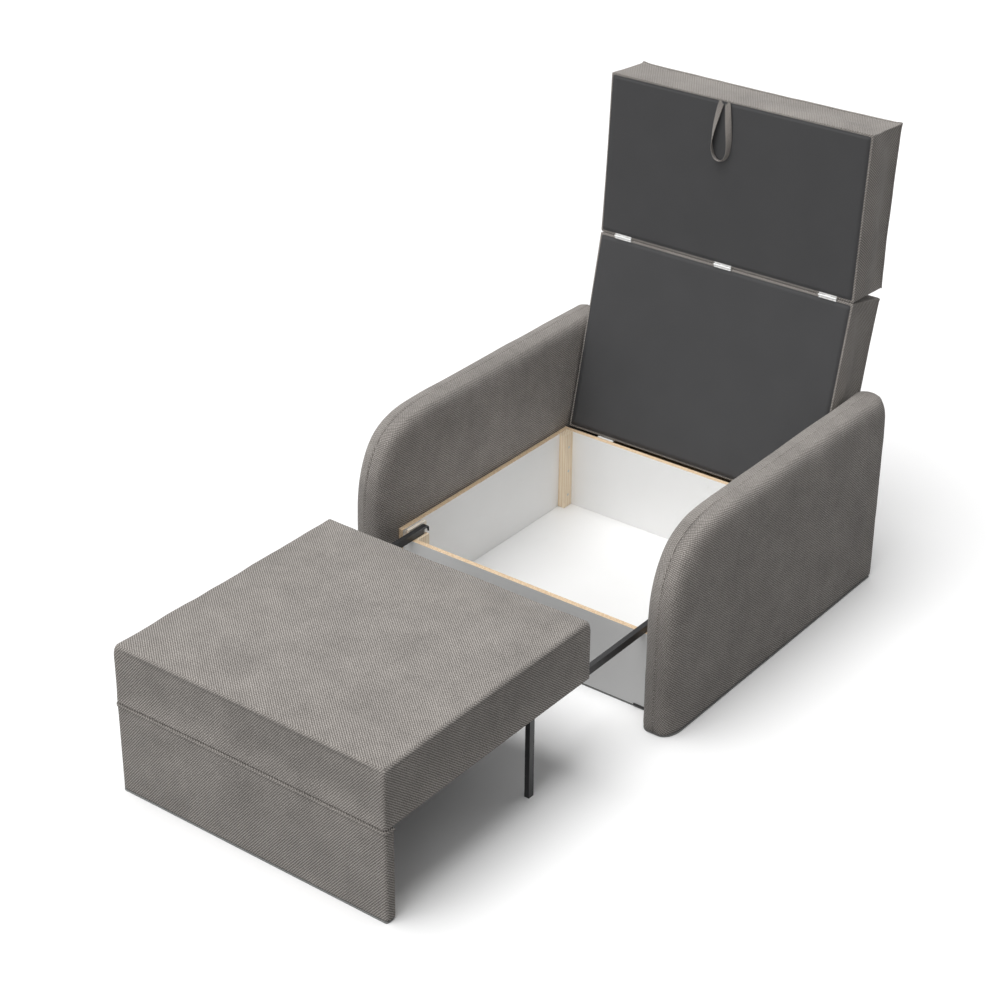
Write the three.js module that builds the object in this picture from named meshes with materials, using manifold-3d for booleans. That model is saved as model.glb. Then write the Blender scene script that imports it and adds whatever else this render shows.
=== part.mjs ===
// Upholstered chair bed. A seat module runs on a sliding steel carriage in front of a storage box
// that stands between two padded arms. Two hinged back leaves unfold over the box and make the bed.
// Millimetres, +Z up. Seen by someone who faces the seat, +X is to the right and +Y is to the rear.
import * as THREE from "three";
import { mergeVertices } from "three/addons/utils/BufferGeometryUtils.js";
import Module from "manifold-3d";

const wasm = await Module();
wasm.setup();

// Shared fits
const gap = 0.3; // left between pieces that touch
const overrun = 2; // how far a cutter passes through its work
const slideGap = 2; // left on each side of the seat module between the arms

// Seat module, as pulled out for the bed. Its front is where Y is zero.
const seat = {
  width: 900,
  depth: 842,
  underside: 274.5,
  edgeHeight: 452,
  crown: 6,
  drawIn: 4,
  edgeRadius: 30,
  hemRadius: 5,
  cornerRadius: 20,
  frame: 20,
  boardThickness: 16,
};

// Padded panel that closes the front under the seat
const frontPanel = {
  thickness: 34,
  crown: 2,
  edgeRadius: 11,
  hemRadius: 3,
  cornerRadius: 10,
  boardThickness: 16,
  boardMargin: 14,
  angleInset: 140,
  angleLeg: 42,
  angleThickness: 2,
};

// Storage box of laminated board
const box = {
  front: 1144.5,
  depth: 832.5,
  top: 273,
  board: 16,
  frontTop: 248.7,
  floorHeight: 10,
  floorThickness: 3,
  cornerBlockWidth: 24,
  cornerBlockLength: 40,
  supportBlockWidth: 44,
  supportBlockLength: 51,
  guideBlockThickness: 11,
  guideBlockHeight: 18,
  guideBlockLength: 80,
  guideBlockDrop: 5,
  stopWidth: 48,
  stopHeight: 6,
  stopThickness: 2,
};

// Arms, and the strips that they stand on. They reach past the box by the overhang.
const arm = {
  thickness: 109.7,
  overhang: 82.5,
  height: 606,
  band: 50,
  puffReach: 90,
  curveDepth: 300,
  curveRise: 330,
  rearRadius: 32,
  leastRadius: 5,
  boardThickness: 18,
  boardMargin: 52,
  boardDepthIn: 30,
};
const strip = { thickness: 5, inset: 4, cornerRadius: 22 };

// Low panel between the arms behind the back, whose top edge stops the back at its lean. It is
// set in by the tuck from the leaf's thickness, because the leaf's lower edge is round.
const rearPanel = {
  tuck: 0.6,
  board: 8,
  pad: 5.5,
  rearInset: 1,
  top: 251,
  hemRadius: 1.5,
};

// Back leaves
const back = {
  sideGap: 6.5,
  lean: 13.25,
  foldOpen: 9.61,
  foldReach: 633.6,
  foldGap: 1,
  bedGap: 3.5,
  crown: 6,
  drawIn: 4,
  edgeRadius: 28,
  hemRadius: 6,
  cornerRadius: 16,
  frame: 20,
  boardThickness: 16,
};
const cover = { thickness: 1.3, inset: 8 };

// Butt hinges, alike at the fold and at the box
const hinge = {
  width: 58,
  knuckles: 3,
  barrelRadius: 3,
  boreRadius: 1.7,
  pinRadius: 1.4,
  headRadius: 2.6,
  headThickness: 1,
  sheet: 1.3,
  foldFlap: 8,
  boxFlap: 35,
  knuckleGap: 0.5,
  foldInset: 84.5,
  boxInset: 143.5,
};

// Steel carriage: two rails on two legs, with a roller at each rail's rear end
const rail = {
  inset: 50,
  width: 15,
  height: 22.5,
  wall: 1.5,
  front: 606,
  rear: 1222,
  tailRadius: 13,
  notchLength: 24,
};
const leg = { depth: 20, front: 620, plateThickness: 3, plugDepth: 12 };
const tie = { height: 15, drop: 4 };
const roller = { radius: 8, width: 9, axleRadius: 2.5, axleClearance: 0.3, tread: 1.2, endInset: 15 };
const shoe = { wall: 4, length: 40, roof: 2.2, front: 656, drop: 1.2 };

// Pull loop of upholstery strip near the upper leaf's free end
const loop = {
  stripWidth: 13,
  stripThickness: 2.4,
  halfWidth: 30,
  length: 184,
  endInset: 9,
  offset: -42,
  tabHeight: 16,
};

// Heights and widths that follow from the sizes above
const innerHalf = seat.width / 2 + slideGap; // from the middle to an arm's inner face
const boxHalf = innerHalf - gap;
const wallHalf = boxHalf - box.board; // inner face of a side board
const boxRear = box.front + box.depth;
const armMiddle = innerHalf + arm.thickness / 2;
const armFront = box.front - arm.overhang;
const backHalf = seat.width / 2 - back.sideGap;
const railInner = seat.width / 2 - rail.inset; // from the middle to a rail's inner face
const lean = THREE.MathUtils.degToRad(back.lean);
const foldOpen = THREE.MathUtils.degToRad(back.foldOpen);

// The hinge axes stand proud of the leaves' black faces by this much
const axisProud = hinge.barrelRadius - hinge.sheet;
const hingeAxisY = boxRear + gap + hinge.barrelRadius;
const hingeAxisZ = seat.underside - axisProud;
const leafStart = hinge.barrelRadius + gap; // along a leaf, from the box hinge's axis
const leafHeight = seat.edgeHeight - seat.underside;
const panelInner = hingeAxisY + leafHeight - rearPanel.tuck; // front face of the rear panel
const panelSeam = panelInner + rearPanel.board + gap;
const armRear = panelSeam + rearPanel.pad + rearPanel.rearInset;
const foldFlatY = hingeAxisY - back.foldReach; // the fold's place when the leaves lie flat
const upperLength = foldFlatY - back.foldGap / 2 - seat.depth - back.bedGap;
const lowerLength = back.foldReach - back.foldGap / 2 - leafStart;

// Smoothness of round and soft forms
const steps = { hem: 2, corner: 5, side: 7, knuckle: 14, tube: 6, armCurve: 14, armCorner: 5, roller: 24 };
const crownShares = [0.9, 0.7, 0.42, 0.16]; // rings of a crown, as shares of its outline
const puffShares = [0, 0.02, 0.07, 0.15, 0.3, 0.58, 0.86]; // rings of an arm's soft edge
const puffPower = 6;
const armCurvePower = 3;
const armRearSoftShare = 0.25; // the rear edge of an arm is this much firmer than its front
const hemCornerShare = 0.3; // least corner radius of a ring, as a share of the cushion's own
const notchShare = 0.25; // part of a rail's height that stays above its roller
const weldTolerance = 1e-4;
const quarterTurn = Math.PI / 2;

// Finishes
const finish = {
  cloth: new THREE.MeshStandardMaterial({ color: 0x857e77, roughness: 0.95, metalness: 0 }),
  blackCloth: new THREE.MeshStandardMaterial({ color: 0x3f3f3f, roughness: 0.9, metalness: 0 }),
  laminate: new THREE.MeshStandardMaterial({ color: 0xe9e9e9, roughness: 0.55, metalness: 0 }),
  chipboard: new THREE.MeshStandardMaterial({ color: 0xd9b98c, roughness: 0.85, metalness: 0 }),
  pine: new THREE.MeshStandardMaterial({ color: 0xe6c9a0, roughness: 0.8, metalness: 0 }),
  blackSteel: new THREE.MeshStandardMaterial({ color: 0x262626, roughness: 0.5, metalness: 0.6 }),
  zinc: new THREE.MeshStandardMaterial({ color: 0xdadada, roughness: 0.4, metalness: 0.8 }),
  nylon: new THREE.MeshStandardMaterial({ color: 0xf1f1ee, roughness: 0.5, metalness: 0 }),
  blackPlastic: new THREE.MeshStandardMaterial({ color: 0x1d1d1d, roughness: 0.6, metalness: 0 }),
  greyPlastic: new THREE.MeshStandardMaterial({ color: 0x77787a, roughness: 0.7, metalness: 0 }),
};

// Geometry helpers

function solidFrom(geometry) {
  const bare = geometry.clone();
  bare.deleteAttribute("normal");
  bare.deleteAttribute("uv");
  const merged = mergeVertices(bare, weldTolerance);
  return new wasm.Manifold(
    new wasm.Mesh({
      numProp: 3,
      vertProperties: new Float32Array(merged.attributes.position.array),
      triVerts: new Uint32Array(merged.index.array),
    }),
  );
}

function geometryFrom(solid) {
  const mesh = solid.getMesh();
  const geometry = new THREE.BufferGeometry();
  geometry.setAttribute("position", new THREE.BufferAttribute(mesh.vertProperties, 3));
  geometry.setIndex(new THREE.BufferAttribute(mesh.triVerts, 1));
  return geometry;
}

function cut(work, ...tools) {
  const result = tools.reduce((left, tool) => left.subtract(solidFrom(tool)), solidFrom(work));
  return geometryFrom(result);
}

function join(first, ...others) {
  const result = others.reduce((all, other) => all.add(solidFrom(other)), solidFrom(first));
  return geometryFrom(result);
}

// A box between two values on each axis
function block([x0, x1], [y0, y1], [z0, z1]) {
  const geometry = new THREE.BoxGeometry(x1 - x0, y1 - y0, z1 - z0);
  return geometry.translate((x0 + x1) / 2, (y0 + y1) / 2, (z0 + z1) / 2);
}

// A shape drawn in (Y, Z), carried along X
function alongX(shape, x0, x1, curveSegments = steps.knuckle) {
  const geometry = new THREE.ExtrudeGeometry(shape, {
    depth: x1 - x0,
    bevelEnabled: false,
    curveSegments,
  });
  const turn = new THREE.Matrix4().makeBasis(
    new THREE.Vector3(0, 1, 0),
    new THREE.Vector3(0, 0, 1),
    new THREE.Vector3(1, 0, 0),
  );
  return geometry.applyMatrix4(turn).translate(x0, 0, 0);
}

// A shape drawn in (X, Y), carried up
function alongZ(shape, z0, z1, curveSegments = steps.corner) {
  const geometry = new THREE.ExtrudeGeometry(shape, {
    depth: z1 - z0,
    bevelEnabled: false,
    curveSegments,
  });
  return geometry.translate(0, 0, z0);
}

// A lathe profile of [radius, x] pairs turned round the X axis
function turned(profile, segments) {
  const points = profile.map(([radius, along]) => new THREE.Vector2(radius, along));
  return new THREE.LatheGeometry(points, segments).rotateZ(-quarterTurn);
}

function polygon(points) {
  return new THREE.Shape(points.map(([a, b]) => new THREE.Vector2(a, b)));
}

function rectangle(x0, x1, y0, y1) {
  return polygon([
    [x0, y0],
    [x1, y0],
    [x1, y1],
    [x0, y1],
  ]);
}

// Closes a stack of rings with equal counts of points into one surface that faces out
function ringSolid(rings) {
  const count = rings[0].length;
  const middle = (ring) =>
    ring.reduce((sum, p) => sum.map((v, k) => v + p[k] / count), [0, 0, 0]);
  const points = [...rings.flat(), middle(rings[0]), middle(rings[rings.length - 1])];
  const start = points.length - 2;
  const end = points.length - 1;
  const faces = [];
  for (let i = 0; i < count; i++) {
    const next = (i + 1) % count;
    faces.push([start, next, i]);
    for (let k = 0; k + 1 < rings.length; k++) {
      const low = k * count;
      const high = low + count;
      faces.push([low + i, low + next, high + next], [low + i, high + next, high + i]);
    }
    const last = (rings.length - 1) * count;
    faces.push([end, last + i, last + next]);
  }
  const corner = ([a, b, c]) => tripleProduct(points[a], points[b], points[c]);
  const volume = faces.reduce((sum, face) => sum + corner(face), 0);
  const outward = volume < 0 ? faces.map(([a, b, c]) => [a, c, b]) : faces;
  const geometry = new THREE.BufferGeometry();
  geometry.setAttribute("position", new THREE.Float32BufferAttribute(points.flat(), 3));
  geometry.setIndex(outward.flat());
  return geometry;
}

function tripleProduct([ax, ay, az], [bx, by, bz], [cx, cy, cz]) {
  return ax * (by * cz - bz * cy) + ay * (bz * cx - bx * cz) + az * (bx * cy - by * cx);
}

// Rounded rectangle about the origin. Each side is drawn in most at its middle.
function pillowOutline(width, length, radius, drawIn) {
  const outline = [];
  const corners = [
    [1, -1],
    [1, 1],
    [-1, 1],
    [-1, -1],
  ];
  const cornerPoint = (index, angle) => {
    const [sx, sy] = corners[index % 4];
    return [
      sx * (width / 2 - radius) + radius * Math.cos(angle),
      sy * (length / 2 - radius) + radius * Math.sin(angle),
    ];
  };
  corners.forEach((_, i) => {
    const startAngle = (i - 1) * quarterTurn;
    const endAngle = startAngle + quarterTurn;
    for (let j = 0; j <= steps.corner; j++)
      outline.push(cornerPoint(i, startAngle + (j / steps.corner) * quarterTurn));
    const [fromX, fromY] = cornerPoint(i, endAngle);
    const [toX, toY] = cornerPoint(i + 1, endAngle);
    for (let j = 1; j < steps.side; j++) {
      const share = j / steps.side;
      const pull = drawIn * Math.sin(Math.PI * share) ** 2;
      outline.push([
        fromX + (toX - fromX) * share - pull * Math.cos(endAngle),
        fromY + (toY - fromY) * share - pull * Math.sin(endAngle),
      ]);
    }
  });
  return outline;
}

// A crowned cushion that lies on Z = 0 with its near edge at Y = 0 and its middle at X = 0
function cushion({ width, length, height, crown, drawIn, edgeRadius, hemRadius, cornerRadius }) {
  const ring = (inset, z, scale = 1) =>
    pillowOutline(
      width - 2 * inset,
      length - 2 * inset,
      Math.max(cornerRadius - inset, cornerRadius * hemCornerShare),
      drawIn,
    ).map(([x, y]) => [x * scale, y * scale + length / 2, z]);
  const rings = [];
  for (let j = 0; j <= steps.hem; j++) {
    const angle = (j / steps.hem) * quarterTurn;
    rings.push(ring(hemRadius * (1 - Math.sin(angle)), hemRadius * (1 - Math.cos(angle))));
  }
  for (let j = 0; j <= steps.corner; j++) {
    const angle = (j / steps.corner) * quarterTurn;
    const z = height - edgeRadius * (1 - Math.sin(angle));
    rings.push(ring(edgeRadius * (1 - Math.cos(angle)), z));
  }
  for (const share of crownShares)
    rings.push(ring(edgeRadius, height + crown * (1 - share ** 2), share));
  return ringSolid(rings);
}

function mesh(name, geometry, material) {
  const made = new THREE.Mesh(geometry, material);
  made.name = name;
  return made;
}

const sides = [
  ["left", -1],
  ["right", 1],
];

// The values a to b on the side of the given sign, in rising order
function onSide(sign, a, b) {
  return sign > 0 ? [a, b] : [-b, -a];
}

// Arms

// Outline of an arm in (Y, Z), drawn in by the given inset everywhere but at its foot
function armOutline(inset) {
  const points = [];
  const foot = strip.thickness + gap;
  const frontY = armFront + inset;
  const curveFoot = arm.height - arm.curveRise;
  const radius = Math.max(arm.rearRadius - inset, arm.leastRadius);
  const rearY = armRear - inset * armRearSoftShare;
  const topZ = arm.height - inset;
  points.push([frontY, foot], [frontY, (foot + curveFoot) / 2]);
  for (let j = 0; j <= steps.armCurve; j++) {
    const angle = (j / steps.armCurve) * quarterTurn;
    const across = Math.max(Math.cos(angle), 0) ** (2 / armCurvePower);
    const up = Math.sin(angle) ** (2 / armCurvePower);
    points.push([
      armFront + arm.curveDepth - (arm.curveDepth - inset) * across,
      curveFoot + (arm.curveRise - inset) * up,
    ]);
  }
  for (let j = 1; j < steps.side; j++) {
    const share = j / steps.side;
    const from = armFront + arm.curveDepth;
    points.push([from + (rearY - radius - from) * share, topZ]);
  }
  for (let j = 0; j <= steps.armCorner; j++) {
    const angle = (j / steps.armCorner) * quarterTurn;
    points.push([
      rearY - radius + radius * Math.sin(angle),
      topZ - radius + radius * Math.cos(angle),
    ]);
  }
  points.push([rearY, (foot + topZ) / 2], [rearY, foot]);
  for (let j = 1; j < steps.side; j++)
    points.push([rearY + ((frontY - rearY) * j) / steps.side, foot]);
  return points;
}

// Half of an arm's thickness at a distance in from its outline
function armHalfAt(distance) {
  const rise = Math.sqrt(1 - (1 - distance / arm.puffReach) ** puffPower);
  return arm.band / 2 + (arm.thickness / 2 - arm.band / 2) * rise;
}

function armPad(sign) {
  const half = puffShares.map((share) => {
    const inset = share * arm.puffReach;
    return { inset, reach: armHalfAt(inset) };
  });
  const outer = half.map(({ inset, reach }) => armOutline(inset).map((p) => [reach, ...p]));
  const inner = half.map(({ inset, reach }) => armOutline(inset).map((p) => [-reach, ...p]));
  const pad = ringSolid([...inner.reverse(), ...outer]).translate(sign * armMiddle, 0, 0);
  return cut(pad, armBoardBlock(sign, gap, overrun));
}

// Board inside an arm. The pocket for it is larger by the given clearance and open below.
function armBoardBlock(sign, clearance = 0, below = 0) {
  const half = arm.boardThickness / 2 + clearance;
  const front = armFront + arm.boardMargin + arm.boardDepthIn;
  return block(
    [sign * armMiddle - half, sign * armMiddle + half],
    [front - clearance, armRear - arm.boardMargin + clearance],
    [strip.thickness + gap - below, arm.height - arm.curveRise / 2 + clearance],
  );
}

function armStrip(sign) {
  const half = arm.thickness / 2 - strip.inset;
  const shape = polygon(
    roundedPlan(half, armFront + strip.inset, armRear - strip.inset, strip.cornerRadius),
  );
  return alongZ(shape, 0, strip.thickness).translate(sign * armMiddle, 0, 0);
}

// Plan of an arm's strip: round at the front corners and square at the rear
function roundedPlan(half, front, rear, radius) {
  const points = [
    [half, rear],
    [-half, rear],
  ];
  for (const side of [-1, 1])
    for (let j = 0; j <= steps.corner; j++) {
      const share = side < 0 ? j / steps.corner : 1 - j / steps.corner;
      const angle = share * quarterTurn;
      points.push([
        side * (half - radius + radius * Math.cos(angle)),
        front + radius - radius * Math.sin(angle),
      ]);
    }
  return points;
}

function arms() {
  const group = new THREE.Group();
  for (const [side, sign] of sides) {
    group.add(
      mesh(`arm_pad_${side}`, armPad(sign), finish.cloth),
      mesh(`arm_board_${side}`, armBoardBlock(sign), finish.chipboard),
      mesh(`arm_base_strip_${side}`, armStrip(sign), finish.greyPlastic),
    );
  }
  return group;
}

// Storage box

function boxBoards() {
  const group = new THREE.Group();
  const foot = strip.thickness + gap;
  const walls = [foot, box.top];
  const across = [-wallHalf + gap, wallHalf - gap];
  const frontDepth = [box.front, box.front + box.board];
  const backDepth = [boxRear - box.board, boxRear];
  const inside = [frontDepth[1] + gap, backDepth[0] - gap];
  const floor = [box.floorHeight, box.floorHeight + box.floorThickness];
  for (const [side, sign] of sides) {
    const board = block(onSide(sign, wallHalf, boxHalf), [box.front, boxRear], walls);
    group.add(mesh(`side_board_${side}`, board, finish.laminate));
  }
  const plinth = block([-boxHalf, boxHalf], frontDepth, [0, strip.thickness]);
  group.add(
    mesh("front_board", block(across, frontDepth, [foot, box.frontTop]), finish.laminate),
    mesh("back_board", block(across, backDepth, walls), finish.laminate),
    mesh("box_floor", block(across, inside, floor), finish.laminate),
    mesh("plinth_strip", plinth, finish.greyPlastic),
  );
  return group;
}

function boxBlocks() {
  const group = new THREE.Group();
  const floorTop = box.floorHeight + box.floorThickness + gap;
  const innerFront = box.front + box.board + gap;
  const innerRear = boxRear - box.board - gap;
  const guideTop = box.top - box.guideBlockDrop;
  const stopFoot = strip.thickness + gap;
  const stopRear = box.front - gap;
  for (const [side, sign] of sides) {
    // Each block stands against the side board and reaches inwards by its own width.
    const place = (width, along, up) =>
      block(onSide(sign, wallHalf - gap - width, wallHalf - gap), along, up);
    const support = place(
      box.supportBlockWidth,
      [innerFront, innerFront + box.supportBlockLength],
      [floorTop, box.frontTop],
    );
    const corner = place(
      box.cornerBlockWidth,
      [innerRear - box.cornerBlockLength, innerRear],
      [floorTop, box.top - gap],
    );
    const guide = place(
      box.guideBlockThickness,
      [innerFront, innerFront + box.guideBlockLength],
      [guideTop - box.guideBlockHeight, guideTop],
    );
    const stop = place(
      box.stopWidth,
      [stopRear - box.stopThickness, stopRear],
      [stopFoot, stopFoot + box.stopHeight],
    );
    group.add(
      mesh(`rail_support_block_${side}`, support, finish.pine),
      mesh(`corner_block_${side}`, corner, finish.pine),
      mesh(`rail_guide_block_${side}`, guide, finish.pine),
      mesh(`leg_stop_${side}`, stop, finish.blackPlastic),
    );
  }
  return group;
}

// Rear panel, with its upholstered skin behind
function rearPanelPieces() {
  const seam = panelSeam;
  const outer = seam + rearPanel.pad;
  const foot = strip.thickness + gap;
  const { top, hemRadius } = rearPanel;
  const padShape = polygon([
    [seam, foot],
    [outer - hemRadius, foot],
    [outer, foot + hemRadius],
    [outer, top - hemRadius],
    [outer - hemRadius, top],
    [seam, top],
  ]);
  const board = block([-boxHalf, boxHalf], [panelInner, seam - gap], [foot, top]);
  const group = new THREE.Group();
  group.add(
    mesh("rear_panel_board", board, finish.chipboard),
    mesh("rear_panel_pad", alongX(padShape, -boxHalf, boxHalf), finish.cloth),
  );
  return group;
}

// Hinges

// A ring of the hinge's barrel with its bore, about the X axis
function knuckle(x0, x1) {
  const ring = new THREE.Shape();
  ring.absarc(0, 0, hinge.barrelRadius, 0, 2 * Math.PI, false);
  const bore = new THREE.Path();
  bore.absarc(0, 0, hinge.boreRadius, 0, 2 * Math.PI, true);
  ring.holes.push(bore);
  return alongX(ring, x0, x1);
}

// One leaf of a butt hinge. Its flap lies in the plane Z = -barrelRadius and runs along +Y from
// the barrel on the X axis. The middle leaf carries one knuckle and the outer leaf the other two.
function hingeLeaf(flap, isMiddle) {
  const half = hinge.width / 2;
  const third = half / hinge.knuckles; // half the width of one knuckle
  const spans = isMiddle
    ? [[-third + hinge.knuckleGap, third - hinge.knuckleGap]]
    : [
        [-half, -third],
        [third, half],
      ];
  const low = -hinge.barrelRadius;
  const sheet = [low, low + hinge.sheet];
  const clear = hinge.barrelRadius + gap;
  const knuckles = spans.flatMap(([x0, x1]) => [
    knuckle(x0, x1),
    cut(block([x0, x1], [0, clear + overrun], sheet), boreCutter(hinge.boreRadius)),
  ]);
  return join(block([-half, half], [clear, flap], sheet), ...knuckles);
}

function boreCutter(radius) {
  const length = hinge.width + overrun;
  return new THREE.CylinderGeometry(radius, radius, length, steps.knuckle).rotateZ(quarterTurn);
}

// Pin with a head at each end of the barrel
function hingePin() {
  const half = hinge.width / 2 + gap;
  const tip = half + hinge.headThickness;
  const { pinRadius, headRadius } = hinge;
  const profile = [
    [0, -tip],
    [headRadius, -tip],
    [headRadius, -half],
    [pinRadius, -half],
    [pinRadius, half],
    [headRadius, half],
    [headRadius, tip],
    [0, tip],
  ];
  return turned(profile, steps.knuckle);
}

// Fixed halves of the two hinges on the box's back board, each with its riveted pin
function boxHinges() {
  const group = new THREE.Group();
  for (const [side, sign] of sides) {
    const leaf = join(hingeLeaf(hinge.boxFlap, false), rivetedPin());
    const made = mesh(`back_hinge_plate_${side}`, leaf, finish.zinc);
    // The flap hangs down behind the back board.
    made.rotation.x = -quarterTurn;
    made.position.set(sign * (backHalf - hinge.boxInset), hingeAxisY, hingeAxisZ);
    group.add(made);
  }
  return group;
}

// Pin fused to the outer knuckles, thin through the middle one
function rivetedPin() {
  const half = hinge.width / 2;
  const third = half / hinge.knuckles;
  const fused = (hinge.boreRadius + hinge.barrelRadius) / 2;
  const profile = [
    [0, -half],
    [fused, -half],
    [fused, -third],
    [hinge.pinRadius, -third],
    [hinge.pinRadius, third],
    [fused, third],
    [fused, half],
    [0, half],
  ];
  return turned(profile, steps.knuckle);
}

// Carriage

const railFootZ = box.frontTop + gap;
const railTopZ = railFootZ + rail.height;
const rollerY = rail.rear - roller.endInset;
const rollerZ = railFootZ + roller.radius;

// Side outline of a rail in (Y, Z), with a round upper tail, drawn in by a wall
function railOutline(inset, front) {
  const shape = new THREE.Shape();
  const radius = rail.tailRadius - inset;
  const top = railTopZ - inset;
  const rear = rail.rear - inset;
  shape.moveTo(front, railFootZ + inset);
  shape.lineTo(rear, railFootZ + inset);
  shape.lineTo(rear, top - radius);
  shape.absarc(rear - radius, top - radius, radius, 0, quarterTurn, false);
  shape.lineTo(front, top);
  shape.closePath();
  return shape;
}

// Hollow rail, open at the front, with its tail cut away on the inside and below for the roller
function railBody(sign) {
  const width = onSide(sign, railInner, railInner + rail.width);
  const hollow = onSide(sign, railInner + rail.wall, railInner + rail.width - rail.wall);
  const notch = onSide(sign, railInner - overrun, railInner + rail.width - rail.wall);
  const outer = alongX(railOutline(0, rail.front), ...width, steps.tube);
  const inner = alongX(railOutline(rail.wall, rail.front - overrun), ...hollow, steps.tube);
  const tail = block(
    notch,
    [rail.rear - rail.notchLength, rail.rear - rail.wall],
    [railFootZ - overrun, railTopZ - rail.wall - rail.height * notchShare],
  );
  const axle = new THREE.CylinderGeometry(
    roller.axleRadius,
    roller.axleRadius,
    rail.width - rail.wall / 2,
    steps.knuckle,
  )
    .rotateZ(quarterTurn)
    .translate(sign * (railInner + rail.width / 2 - rail.wall / 4), rollerY, rollerZ);
  return join(cut(outer, inner, tail), axle);
}

function rollerBody() {
  const half = roller.width / 2;
  const bore = roller.axleRadius + roller.axleClearance;
  const rim = roller.radius - roller.tread;
  const profile = [
    [bore, -half],
    [rim, -half],
    [roller.radius, -half + roller.tread],
    [roller.radius, half - roller.tread],
    [rim, half],
    [bore, half],
    [bore, -half],
  ];
  return turned(profile, steps.roller);
}

function legBody(sign) {
  const across = onSide(sign, railInner, railInner + rail.width);
  const tube = hollowTube(across, [leg.front, leg.front + leg.depth]);
  return alongZ(tube, leg.plateThickness + gap, railFootZ - gap);
}

// Section of a square tube between two values on each axis of its plane
function hollowTube([a0, a1], [b0, b1]) {
  const tube = rectangle(a0, a1, b0, b1);
  const wall = rail.wall;
  tube.holes.push(rectangle(a0 + wall, a1 - wall, b0 + wall, b1 - wall));
  return tube;
}

function legFoot(sign) {
  const margin = rail.wall + gap;
  const top = leg.plateThickness + leg.plugDepth;
  const plate = block(
    onSide(sign, railInner, railInner + rail.width),
    [leg.front, leg.front + leg.depth],
    [0, leg.plateThickness],
  );
  const plug = block(
    onSide(sign, railInner + margin, railInner + rail.width - margin),
    [leg.front + margin, leg.front + leg.depth - margin],
    [0, top],
  );
  return join(plate, plug);
}

function carriage() {
  const group = new THREE.Group();
  for (const [side, sign] of sides) {
    const wheel = mesh(`rail_roller_${side}`, rollerBody(), finish.nylon);
    const inward = railInner + rail.width - rail.wall - gap - roller.width / 2;
    wheel.position.set(sign * inward, rollerY, rollerZ);
    group.add(
      mesh(`rail_${side}`, railBody(sign), finish.blackSteel),
      mesh(`leg_${side}`, legBody(sign), finish.blackSteel),
      mesh(`leg_foot_${side}`, legFoot(sign), finish.blackPlastic),
      wheel,
    );
  }
  const reach = railInner - gap;
  const tieTop = railFootZ - tie.drop;
  const middle = leg.front + leg.depth / 2;
  const half = leg.depth / 2;
  const tube = hollowTube([middle - half, middle + half], [tieTop - tie.height, tieTop]);
  group.add(mesh("cross_tube", alongX(tube, -reach, reach), finish.blackSteel));
  return group;
}

// Seat module

const coverLift = cover.thickness + gap; // from a leaf's black face to its cloth

function seatPieces() {
  const group = new THREE.Group();
  const { width, depth, frame, boardThickness } = seat;
  const floor = seat.underside + coverLift;
  const pad = cushion({
    ...seat,
    length: depth,
    height: seat.edgeHeight - floor,
  }).translate(0, 0, floor);
  const pocket = (clearance, below) =>
    block(
      [-width / 2 + frame - clearance, width / 2 - frame + clearance],
      [frontPanel.thickness + frame - clearance, depth - frame + clearance],
      [floor - below, floor + boardThickness + clearance],
    );
  const coverHalf = width / 2 - cover.inset;
  const coverFront = frontPanel.thickness + gap + frontPanel.angleLeg + cover.inset;
  const dustCover = block(
    [-coverHalf, coverHalf],
    [coverFront, depth - cover.inset],
    [seat.underside, floor - gap],
  );
  group.add(
    mesh("seat_cushion", cut(pad, pocket(gap, overrun)), finish.cloth),
    mesh("seat_board", pocket(0, 0), finish.chipboard),
    mesh("seat_dust_cover", dustCover, finish.blackCloth),
  );
  return group;
}

function frontPanelPieces() {
  const group = new THREE.Group();
  const { thickness, boardThickness, boardMargin } = frontPanel;
  const foot = strip.thickness + gap;
  const top = seat.underside + coverLift - gap;
  const half = seat.width / 2;
  // The pad is made lying down and stood up, so that its crown faces the front.
  const pad = cushion({
    ...frontPanel,
    drawIn: 0,
    width: seat.width,
    length: top - foot,
    height: thickness - frontPanel.crown,
  })
    .rotateX(quarterTurn)
    .translate(0, thickness, foot);
  const board = (clearance, behind) =>
    block(
      [-half + boardMargin - clearance, half - boardMargin + clearance],
      [thickness - boardThickness - clearance, thickness + behind],
      [foot + boardMargin - clearance, top - boardMargin + clearance],
    );
  const stripHalf = half - strip.inset;
  const panelStrip = block(
    [-stripHalf, stripHalf],
    [strip.inset, thickness - strip.inset],
    [0, strip.thickness],
  );
  const near = thickness + gap;
  const { angleLeg, angleThickness, angleInset } = frontPanel;
  const angleHalf = half - angleInset;
  const angle = polygon([
    [near, top - angleLeg],
    [near + angleThickness, top - angleLeg],
    [near + angleThickness, top - angleThickness],
    [near + angleLeg, top - angleThickness],
    [near + angleLeg, top],
    [near, top],
  ]);
  group.add(
    mesh("front_panel_pad", cut(pad, board(gap, overrun)), finish.cloth),
    mesh("front_panel_board", board(0, 0), finish.chipboard),
    mesh("front_panel_strip", panelStrip, finish.greyPlastic),
    mesh("panel_angle", alongX(angle, -angleHalf, angleHalf), finish.blackSteel),
  );
  return group;
}

// Shoes under the seat that straddle the rails
function guideShoes() {
  const group = new THREE.Group();
  const top = seat.underside - gap;
  const foot = railFootZ + shoe.drop;
  for (const [side, sign] of sides) {
    const near = railInner - gap;
    const far = railInner + rail.width + gap;
    const outer = onSide(sign, near - shoe.wall, far + shoe.wall);
    const inner = onSide(sign, near, far);
    const along = [shoe.front, shoe.front + shoe.length];
    const body = cut(
      block(outer, along, [foot, top]),
      block(inner, [along[0] - overrun, along[1] + overrun], [foot - overrun, top - shoe.roof]),
    );
    group.add(mesh(`guide_shoe_${side}`, body, finish.blackPlastic));
  }
  return group;
}

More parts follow.
